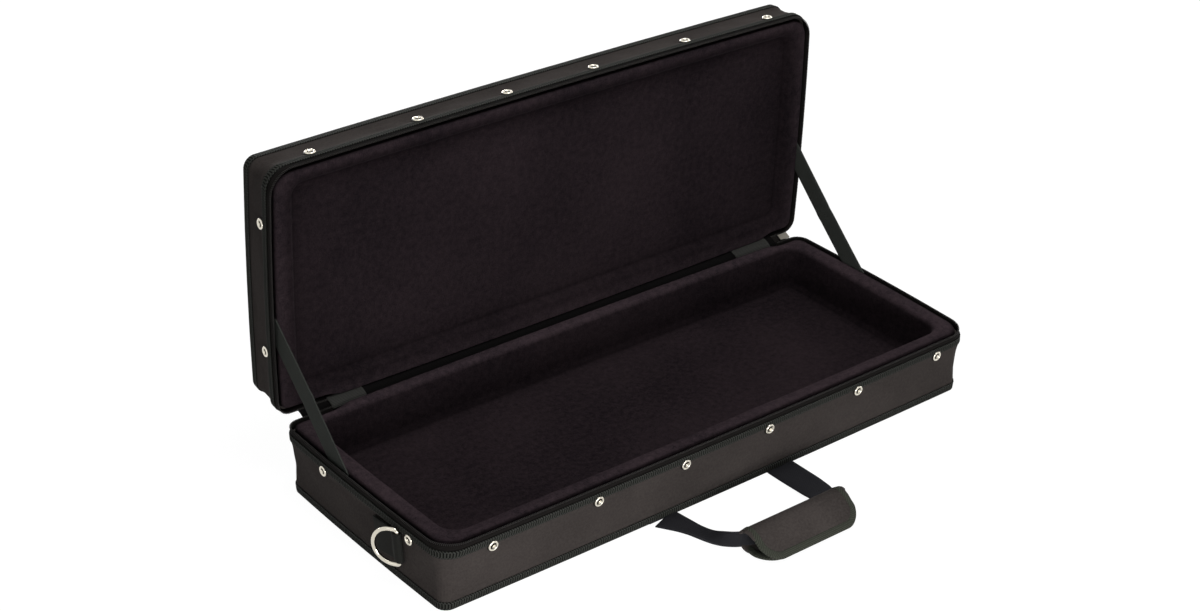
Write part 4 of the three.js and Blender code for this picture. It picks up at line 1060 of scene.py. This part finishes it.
gusset = (ZIP_LEFT + 0.3, ZIP_RIGHT - 0.3, ((0, 1), (0, 1)), 0, GUSSET_THICKNESS, 160)
hinge_piece("hinge_gusset_cloth", gusset, hinge_shade_cloth, "cover_nylon", "hinge_gusset")
gore = (-346, ZIP_LEFT + 4, ((0.02, 0.98), (0.02, 0.98)), -1.0, GUSSET_THICKNESS, 16)
hinge_piece("hinge_end_gore", gore, hinge_shade_cloth, "cover_nylon")
tongue = (ZIP_RIGHT - 0.3, ZIP_RIGHT + 17, ((0.02, 0.98), (0.36, 0.6)), 0, GUSSET_THICKNESS, 8)
cloth_piece("zip_end_tongue", cloth_mesh(hinge_strip(*tongue)), zip_weave, "base", "zip_tape")
for side, first_x, last_x in (("left", -309.7, -265.7), ("right", 269.0, 323.0)):
    on_gusset = GUSSET_THICKNESS + 0.2
    tab = (first_x, last_x, ((0.14, 0.86), (0.14, 0.86)), on_gusset, TAB_THICKNESS, 24)
    hinge_piece(f"hinge_tab_webbing_{side}", tab, webbing, "webbing", f"hinge_tab_{side}")
for name in ("zipper_slider", "zipper_pull"):
    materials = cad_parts[name].data.materials
    materials.clear()
    materials.append(dull_nickel)

# Stays
# Two flat webbing stays hold the lid at a right angle. Their ends are sewn in beside the linings,
# about 110 mm from the hinge, and each is creased where it folds when the lid is shut.
STAY_X = 368.0
STAY_WIDTH = 26.0
STAY_THICKNESS = 1.6
STAY_REACH = 110.6
STAY_END_DROP = 9.0


def ribbon_mesh(path, across, width, thickness):
    """A strap's mesh along a path: its section is a flat bar with round edges, its width along
    across and its thickness square to that and to the path. Width and thickness may change along
    it. Its UV map holds metres across its face and along it, for ribs along it."""
    run = unit(np.gradient(path, axis=0))
    across = across - run * np.sum(across * run, -1, keepdims=True)
    across = unit(across)
    normal = np.cross(run, across)
    width = np.broadcast_to(width, len(path))[:, None]
    thickness = np.broadcast_to(thickness, len(path))[:, None]
    ends = np.linspace(-np.pi / 2, np.pi / 2, 5)
    flat = np.linspace(-1, 1, 8)[1:-1]
    side = np.concatenate([np.ones(5), flat[::-1], -np.ones(5), flat])
    bulge = np.concatenate([np.cos(ends), 0 * flat, -np.cos(ends), 0 * flat])
    level = np.concatenate([np.sin(ends), 1 + 0 * flat, -np.sin(ends), -1 + 0 * flat])
    u = side * (width - thickness) / 2 + bulge * thickness / 2
    v = level * thickness / 2
    grid = path[:, None] + across[:, None] * u[..., None] + normal[:, None] * v[..., None]
    around = lengths(np.concatenate([grid[0], grid[0, :1]]))
    uv = np.stack(np.broadcast_arrays(around, lengths(path)[:, None]), -1)
    return cloth_mesh(grid, uv=uv)


stay_web = tape_weave("stay_webbing", "#3a3c39", 1.5, 0.7, 0.5)
for side, sign in (("left", -1), ("right", 1)):
    place = (sign * STAY_X, HINGE_Y - STAY_REACH, -STAY_END_DROP)
    foot, head = standing("base", place), standing("lid", place)
    share = np.linspace(-0.03, 1.03, 60)
    path = foot + (head - foot) * share[:, None]
    crease = np.exp(-(((share - 0.5) / 0.03) ** 2))
    path[:, 0] -= sign * (0.8 * np.sin(np.pi * np.clip(share, 0, 1)) + 0.5 * crease)
    mesh = ribbon_mesh(path, (0, 1, -1), STAY_WIDTH, STAY_THICKNESS)
    stay = cloth_piece(f"stay_{side}", mesh, stay_web, None, "webbing", f"lid_stay_{side}")
    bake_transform(stay)

# Rings
# A nickel D-ring hangs at each end from a folded webbing tab that is sewn flat to the wall behind
# it. The tab widens to its sewn end, and the ring stands out from the wall.
RING_WIRE = 2.25
RING_INNER = 38.0
RING_CORNER = 4.0
RING_DEPTH = 33.0
RING_LEAN = np.radians(28)
RING_DROOP = np.radians(3.5)
RING_BAR_Y = -71.93
RING_MIDDLE_DROP = 34.5
RING_BAR_OUT = 3.9
RING_PLAY = 0.35
RING_TAB_LENGTH = 42.0
RING_TAB_WIDTH = 35.0
RING_TAB_FLARE = 5.0
RING_TAB_THICKNESS = 1.5


def ring_wire():
    """The ring as a round tube about a closed line: a straight bar at x 0, two tight corners and a
    wide arc. X leads away from the bar, and the bar runs along Z."""
    reach = RING_INNER / 2 + RING_WIRE
    centre = RING_DEPTH - 2 * RING_WIRE - reach
    straight = reach - RING_CORNER
    corner = np.linspace(np.pi, 1.5 * np.pi, 12)[:, None]
    arc = np.linspace(-np.pi / 2, np.pi / 2, 60)
    low = np.concatenate([np.cos(corner), np.sin(corner)], 1) * RING_CORNER
    low += (RING_CORNER, -straight)
    wide = np.stack([centre + reach * np.cos(arc), reach * np.sin(arc)], -1)
    high = low[::-1] * (1, -1)
    bar = np.linspace((0, straight), (0, -straight), 24)
    line = np.concatenate([low[:-1], wide, high[1:], bar[1:-1]])
    run = unit(np.roll(line, -1, 0) - np.roll(line, 1, 0))
    out = np.stack([run[:, 1], -run[:, 0]], -1)
    turn = 2 * np.pi * np.arange(16) / 16
    flat = line[:, None] + RING_WIRE * np.cos(turn)[:, None] * out[:, None]
    rise = np.broadcast_to(RING_WIRE * np.sin(turn), flat.shape[:2])
    return np.stack([flat[..., 0], rise, flat[..., 1]], -1)


def tab_path():
    """The tab's webbing in the ring's frame, as a loop seen along the bar: flat on the wall, round
    the bar, and back over itself to its sewn end. X leads rearwards and Y outwards."""
    loop = RING_WIRE + RING_PLAY + RING_TAB_THICKNESS / 2
    under = np.linspace((RING_TAB_LENGTH, RING_BAR_OUT - loop), (2, RING_BAR_OUT - loop), 20)
    turn = np.linspace(-np.pi / 2, -1.42 * np.pi, 18)
    round_bar = np.stack([loop * np.cos(turn), RING_BAR_OUT + loop * np.sin(turn)], -1)
    over_x = np.linspace(round_bar[-1, 0] + 2, RING_TAB_LENGTH, 20)
    drop = ease(over_x, over_x[0], 14)
    over = np.stack([over_x, round_bar[-1, 1] * (1 - drop) + 2.6 * drop], -1)
    return np.concatenate([under, round_bar, over])


tab_weave = tape_weave("tab_webbing", "#272725", 1.6, 0.7, 0.5)
for side in ("left", "right"):
    place, run, rise, out = on_wall("base", side, RING_BAR_Y, RING_MIDDLE_DROP)
    cos_droop, sin_droop = np.cos(RING_DROOP), np.sin(RING_DROOP)
    along, up = run * cos_droop - rise * sin_droop, rise * cos_droop + run * sin_droop
    profile = tab_path()
    path = place + profile[:, :1] * along + profile[:, 1:] * out
    flare = RING_TAB_FLARE * np.clip(profile[:, 0], 0, None) / RING_TAB_LENGTH
    path = standing("base", path - up * flare[:, None] / 2)
    mesh = ribbon_mesh(path, up, RING_TAB_WIDTH + flare, RING_TAB_THICKNESS)
    cloth_piece(f"ring_tab_{side}", mesh, tab_weave, "base", "webbing", f"d_ring_tab_{side}")
    wire = ring_wire()
    lean_out = along * np.cos(RING_LEAN) + out * np.sin(RING_LEAN)
    lean_up = out * np.cos(RING_LEAN) - along * np.sin(RING_LEAN)
    placed = (
        place
        + out * RING_BAR_OUT
        + wire[..., :1] * lean_out
        + wire[..., 1:2] * lean_up
        + wire[..., 2:] * up
    )
    cloth_piece(
        f"ring_wire_{side}",
        cloth_mesh(standing("base", placed), (True, True), False),
        nickel,
        f"ring_{side}",
        "nickel_plate",
        f"d_ring_{side}",
    )

# Base handle
# One length of 38 mm webbing is sewn under the base and runs out past its front edge. It folds
# lengthwise and turns on edge where it enters the padded grip, and lies flat again at the other leg.
LEG_X = 83.5
STRAP_WIDTH = 38.0
STRAP_THICKNESS = 1.8
# Each stop: the strap's outer edge and its inner edge, each x, y, z, and its thickness. It lies flat
# under the base, folds in half on the left and stands up where it goes into the grip.
STRAP_STOPS = (
    (-102.5, -141.9, 1.2, -64.5, -141.9, 1.2, 1.8),
    (-97.5, -150.0, 1.2, -63.6, -150.0, 1.3, 1.8),
    (-88.5, -166.0, 1.3, -62.4, -164.0, 1.6, 2.2),
    (-83.0, -178.0, 1.6, -61.5, -178.0, 2.2, 2.8),
    (-79.0, -193.0, 1.9, -61.0, -191.0, 5.0, 3.4),
    (-74.5, -208.0, 2.1, -63.5, -203.5, 12.0, 3.6),
    (-68.0, -220.0, 3.0, -64.0, -216.0, 18.5, 3.6),
    (-57.5, -230.0, 4.0, -56.5, -228.5, 22.0, 3.6),
    (-42.0, -236.5, 4.9, -42.0, -236.0, 23.6, 3.6),
    (-20.0, -240.0, 5.0, -20.0, -240.0, 23.8, 3.6),
    (20.0, -241.0, 5.0, 20.0, -241.0, 23.8, 3.6),
    (46.0, -240.0, 5.0, 45.0, -239.0, 22.5, 3.6),
    (66.0, -238.0, 4.6, 57.0, -232.0, 17.0, 3.2),
    (86.0, -228.0, 4.4, 60.0, -222.0, 9.0, 2.4),
    (97.0, -210.0, 3.8, 62.5, -206.0, 5.0, 1.9),
    (101.5, -188.0, 2.4, 64.0, -186.0, 2.8, 1.8),
    (102.5, -165.0, 1.5, 64.5, -165.0, 1.6, 1.8),
    (102.5, -141.9, 1.2, 64.5, -141.9, 1.2, 1.8),
)


def smooth_stops(stops, count, near=3):
    """Even steps along stops joined by cubic curves whose slope at each stop is that of the line
    between its neighbours. The first numbers of a stop are the place that its spacing goes by."""
    stops = np.array(stops, float)
    knots = lengths(stops[:, :near])
    slope = np.gradient(stops, knots, axis=0)
    at = np.linspace(0, knots[-1], count)
    i = np.clip(np.searchsorted(knots, at, side="right") - 1, 0, len(knots) - 2)
    gap = (knots[i + 1] - knots[i])[:, None]
    t = ((at - knots[i])[:, None]) / gap
    return (
        stops[i] * (1 + 2 * t) * (1 - t) ** 2
        + slope[i] * gap * t * (1 - t) ** 2
        + stops[i + 1] * t**2 * (3 - 2 * t)
        + slope[i + 1] * gap * t**2 * (t - 1)
    )


def strap_mesh(stops, count):
    """A strap whose two edges run through the stops."""
    steps = smooth_stops(stops, count, 6)
    outer, inner, thickness = steps[:, :3], steps[:, 3:6], steps[:, 6]
    width = np.linalg.norm(inner - outer, axis=-1)
    return ribbon_mesh((outer + inner) / 2, inner - outer, width, thickness)


# Each anchor's y where it comes out and where it ends, and its level
ANCHORS = {"base": (-140.7, -86.7, 1.2 - BASE_HEIGHT), "lid": (-136, -86.7, -1.2 - LID_HEIGHT)}
strap_web = tape_weave("handle_webbing", "#28282b", 1.7, 0.6, 0.9)
cloth_piece(
    "base_handle_webbing",
    strap_mesh(STRAP_STOPS, 260),
    strap_web,
    "base_handle",
    "webbing",
    "base_handle_strap",
)
for side, x in (("left", -LEG_X), ("right", LEG_X)):
    for half, (front, rear, level) in ANCHORS.items():
        path = standing(half, np.linspace((x, front, level), (x, rear, level), 30))
        cloth_piece(
            f"{half}_anchor_webbing_{side}",
            ribbon_mesh(path, (1, 0, 0), STRAP_WIDTH, STRAP_THICKNESS),
            strap_web,
            half,
            "webbing",
            f"{half}_handle_anchor_{side}",
        )

# Grip
# The grip is a sheet of foam in the cover's nylon, rounded at its corners and bound all round with
# the same tape. It is wrapped over the folded strap so that its two long edges meet in front.
GRIP_LEFT, GRIP_RIGHT = -59.0, 86.0
GRIP_PAD = 4.2
GRIP_CORNER = 20.0
GRIP_BOUND = 7.5
# The edge tape's section: how far into the sheet each point lies, and how high over its middle
GRIP_TAPE_SECTION = (
    (7.2, 1.9), (6.8, 2.4), (4.6, 2.3), (2.3, 2.0), (0.6, 1.6), (-0.5, 0.9), (-0.8, 0),
    (-0.5, -0.9), (0.6, -1.6), (2.3, -2.0), (4.6, -2.3), (6.8, -2.4), (7.2, -1.9), (6.8, -1.2),
    (5, -0.6), (5, 0.6), (6.8, 1.2),
)
# Middle of the padded sheet seen from its end, y and z, from the upper front edge over and round
GRIP_STOPS = (
    (-273.6, 4.6), (-265.5, 10.4), (-254.5, 18.0), (-244.5, 24.0), (-236.0, 25.3), (-230.4, 22.4),
    (-228.3, 15.5), (-229.8, 8.6), (-234.5, 4.0), (-243.0, 2.9), (-253.0, 2.9), (-270.5, 2.9),
)


def grip_middle(gone, x):
    """The middle of the padded sheet, for arrays of the distance along its section and of x, and
    the direction square to it."""
    stops = np.array([(0, y, z) for y, z in GRIP_STOPS], float)
    line = smooth_stops(stops, 400)[:, 1:]
    at = lengths(line)
    ahead = np.gradient(line, at, axis=0)
    place = [np.interp(gone, at, line[:, axis]) for axis in range(2)]
    run = [np.interp(gone, at, ahead[:, axis]) for axis in range(2)]
    return (
        np.stack([x, *place], -1),
        np.stack([0 * x, run[1], -run[0]], -1) / np.hypot(*run)[..., None],
        at[-1],
    )


def grip_taper(gone, length):
    """The sheet's width at a distance along its section as a share of its greatest, at the fold."""
    near = np.clip(2 * np.minimum(gone, length - gone) / length, 0, 1)
    return 1 - 0.13 * (1 - near) ** 1.3


def grip_reach(gone, length):
    """Half the sheet's width along x at a distance along its section, less at its round corners."""
    into = np.clip(GRIP_CORNER - np.minimum(gone, length - gone), 0, GRIP_CORNER)
    short = GRIP_CORNER - np.sqrt(GRIP_CORNER**2 - into**2)
    return ((GRIP_RIGHT - GRIP_LEFT) / 2 - short) * grip_taper(gone, length)


def grip_sheet():
    """The padded sheet as a closed shell of two faces that come together at its bound edges."""
    length = grip_middle(np.zeros(1), np.zeros(1))[2]
    gone = length * (1 + np.sin(np.linspace(-np.pi / 2, np.pi / 2, 72)))[:, None] / 2
    share = np.sin(np.linspace(-np.pi / 2, np.pi / 2, 80))[None, :]
    reach = grip_reach(np.clip(gone, 1, length - 1), length)
    x = (GRIP_LEFT + GRIP_RIGHT) / 2 + share * reach
    gone = np.broadcast_to(gone, x.shape)
    middle, normal, _ = grip_middle(gone, x)
    edge = np.minimum(reach * (1 - np.abs(share)), np.minimum(gone, length - gone))
    plump = 0.45 + 0.55 * np.sqrt(1 - (1 - np.clip(edge / 10.0, 0, 1)) ** 2)
    lift = normal * (plump * GRIP_PAD / 2)[..., None]
    return np.concatenate([middle + lift, (middle - lift)[:, ::-1]], 1)


def grip_edge():
    """The sheet's edge, x and distance along its section in even steps, with the direction into
    the sheet, how far round each step is and the section's whole length."""
    length = grip_middle(np.zeros(1), np.zeros(1))[2]
    middle = (GRIP_LEFT + GRIP_RIGHT) / 2
    half_x, radius = (GRIP_RIGHT - GRIP_LEFT) / 2, GRIP_CORNER
    turn = np.linspace(0, np.pi / 2, 30)
    corners = []
    for side_x, side_gone, start in ((1, 1, 0), (-1, 1, 0.5), (-1, -1, 1), (1, -1, 1.5)):
        angle = turn + start * np.pi
        x = middle + side_x * (half_x - radius) + radius * np.cos(angle)
        gone = length / 2 + side_gone * (length / 2 - radius) + radius * np.sin(angle)
        corners.append(np.stack([x, gone], -1))
    line = np.concatenate(corners + [corners[0][:1]])
    line[:, 0] = middle + (line[:, 0] - middle) * grip_taper(line[:, 1], length)
    even = np.linspace(0, lengths(line)[-1], 520, endpoint=False)
    flat = taken_at(line, even)
    run = unit(np.roll(flat, -1, 0) - np.roll(flat, 1, 0))
    return flat, np.stack([-run[:, 1], run[:, 0]], -1), even, length


def grip_binding():
    """The tape folded round the sheet's edge: its section runs out along one face, over the edge,
    back along the other and through the pad, with the weave's ribs on both faces."""
    flat, inward, even, length = grip_edge()
    depth, lift = np.array(GRIP_TAPE_SECTION).T
    place = flat[None] + inward[None] * depth[:, None, None]
    middle, normal, _ = grip_middle(np.clip(place[..., 1], 0, length), place[..., 0])
    beyond = place[..., 1] - np.clip(place[..., 1], 0, length)
    across = np.cross((1.0, 0.0, 0.0), normal)
    slant = even[None, :] + np.abs(depth)[:, None]
    ribs = 0.06 * np.sin(2 * np.pi * slant / BINDING_RIB) * np.sign(lift)[:, None]
    rise = (lift[:, None] + ribs)[..., None]
    uv = np.stack(np.broadcast_arrays(slant, 0 * slant), -1)
    uv = np.concatenate([uv, uv[:, :1] + (even[1] + even[-1], 0)], 1)
    return middle + normal * rise + across * beyond[..., None], np.concatenate([uv, uv[:1]])


def swollen(mesh, pinned, cap, lowest):
    """A padded mesh blown up by a cloth simulation: remeshed, its vertices held where pinned says
    so, pressed out from inside, and moved no further than cap and no lower than lowest."""
    trial = add_to_scene("trial_pad", mesh)
    remesh = trial.modifiers.new("remesh", "REMESH")
    remesh.mode = "VOXEL"
    remesh.voxel_size = 2.4 * MM
    even = bpy.data.meshes.new_from_object(
        trial.evaluated_get(bpy.context.evaluated_depsgraph_get())
    )
    bpy.data.objects.remove(trial)
    before = np.empty(len(even.vertices) * 3)
    even.vertices.foreach_get("co", before)
    before = before.reshape(-1, 3)
    pad = add_to_scene("trial_pad", even)
    held = pad.vertex_groups.new(name="held")
    held.add(np.flatnonzero(pinned(before / MM)).tolist(), 1, "REPLACE")
    cloth = pad.modifiers.new("cloth", "CLOTH")
    cloth.settings.use_pressure = True
    cloth.settings.uniform_pressure_force = 4
    cloth.settings.vertex_group_mass = "held"
    cloth.settings.effector_weights.gravity = 0
    cloth.settings.tension_stiffness = 8
    cloth.settings.compression_stiffness = 6
    cloth.settings.bending_stiffness = 0.6
    for step in range(1, 21):
        bpy.context.scene.frame_set(step)
    after = np.empty(len(before) * 3)
    solved = pad.evaluated_get(bpy.context.evaluated_depsgraph_get())
    solved.data.vertices.foreach_get("co", after)
    moved = after.reshape(-1, 3) - before
    far = np.linalg.norm(moved, axis=-1, keepdims=True)
    after = before + moved * np.minimum(1, cap * MM / np.maximum(far, 1e-9))
    after[:, 2] = np.maximum(after[:, 2], lowest * MM)
    bpy.context.scene.frame_set(1)
    bpy.data.objects.remove(pad)
    even.vertices.foreach_set("co", after.ravel())
    even.polygons.foreach_set("use_smooth", np.ones(len(even.polygons), bool))
    even.materials.clear()
    even.update()
    return even


def at_bound_edge(points):
    """Which points lie under the binding, near an end or a long edge of the sheet."""
    ends = np.minimum(points[:, 0] - GRIP_LEFT, GRIP_RIGHT - points[:, 0])
    return (ends < GRIP_BOUND + 9) | (points[:, 1] < -262.5)


pad_mesh = cloth_mesh(grip_sheet())
pad_mesh = swollen(pad_mesh, at_bound_edge, 2.2, 0.35)
grip = cloth_piece("grip_padding", pad_mesh, nylon, "base_handle", "cover_nylon", "handle_grip")
subdivide = grip.modifiers.new("subdivision", "SUBSURF")
subdivide.levels = 1
subdivide.render_levels = 1
edge_grid, edge_slant = grip_binding()
cloth_piece(
    "grip_edge_tape",
    cloth_mesh(edge_grid, (True, True), False, edge_slant),
    grip_herringbone_painted_light,
    "base_handle",
    "binding_tape",
)

# Lid handle
# The lid has a plain loop of the same webbing, sewn to its panel near the front edge and folded
# back over its stitching, so that it hangs flat against the open lid.
# Each stop: x, how far down and how far out from the lid, width and thickness
LID_STRAP_LEFT = (
    (-83.5, 0, 0, 38, 1.8),
    (-83.2, 8, 0.9, 38, 1.8),
    (-82.0, 33, 1.2, 36, 1.9),
    (-74.0, 60, 2.0, 28, 2.6),
    (-58.0, 78, 2.4, 22, 3.3),
    (-35.0, 87, 2.6, 19, 3.6),
)
LID_STRAP_RIGHT = [(-x, *rest) for x, *rest in reversed(LID_STRAP_LEFT)]
LID_STRAP_STOPS = (*LID_STRAP_LEFT, (0.0, 88.5, 2.6, 19, 3.6), *LID_STRAP_RIGHT)
LID_STRAP_Y, LID_STRAP_Z = 212.6, 360.6


def hung_strap(stops, count):
    """A strap that hangs down against the lid through its stops."""
    steps = smooth_stops(stops, count)
    x, down, out = steps[:, 0], steps[:, 1], steps[:, 2]
    path = np.stack([x, LID_STRAP_Y + out, LID_STRAP_Z - down], -1)
    run = np.gradient(path, axis=0)
    across = np.stack([-run[:, 2], 0 * x, run[:, 0]], -1)
    return ribbon_mesh(path, across, steps[:, 3], steps[:, 4])


cloth_piece(
    "lid_handle_webbing",
    hung_strap(LID_STRAP_STOPS, 220),
    strap_web,
    "lid_handle",
    "webbing",
    "lid_handle_strap",
)
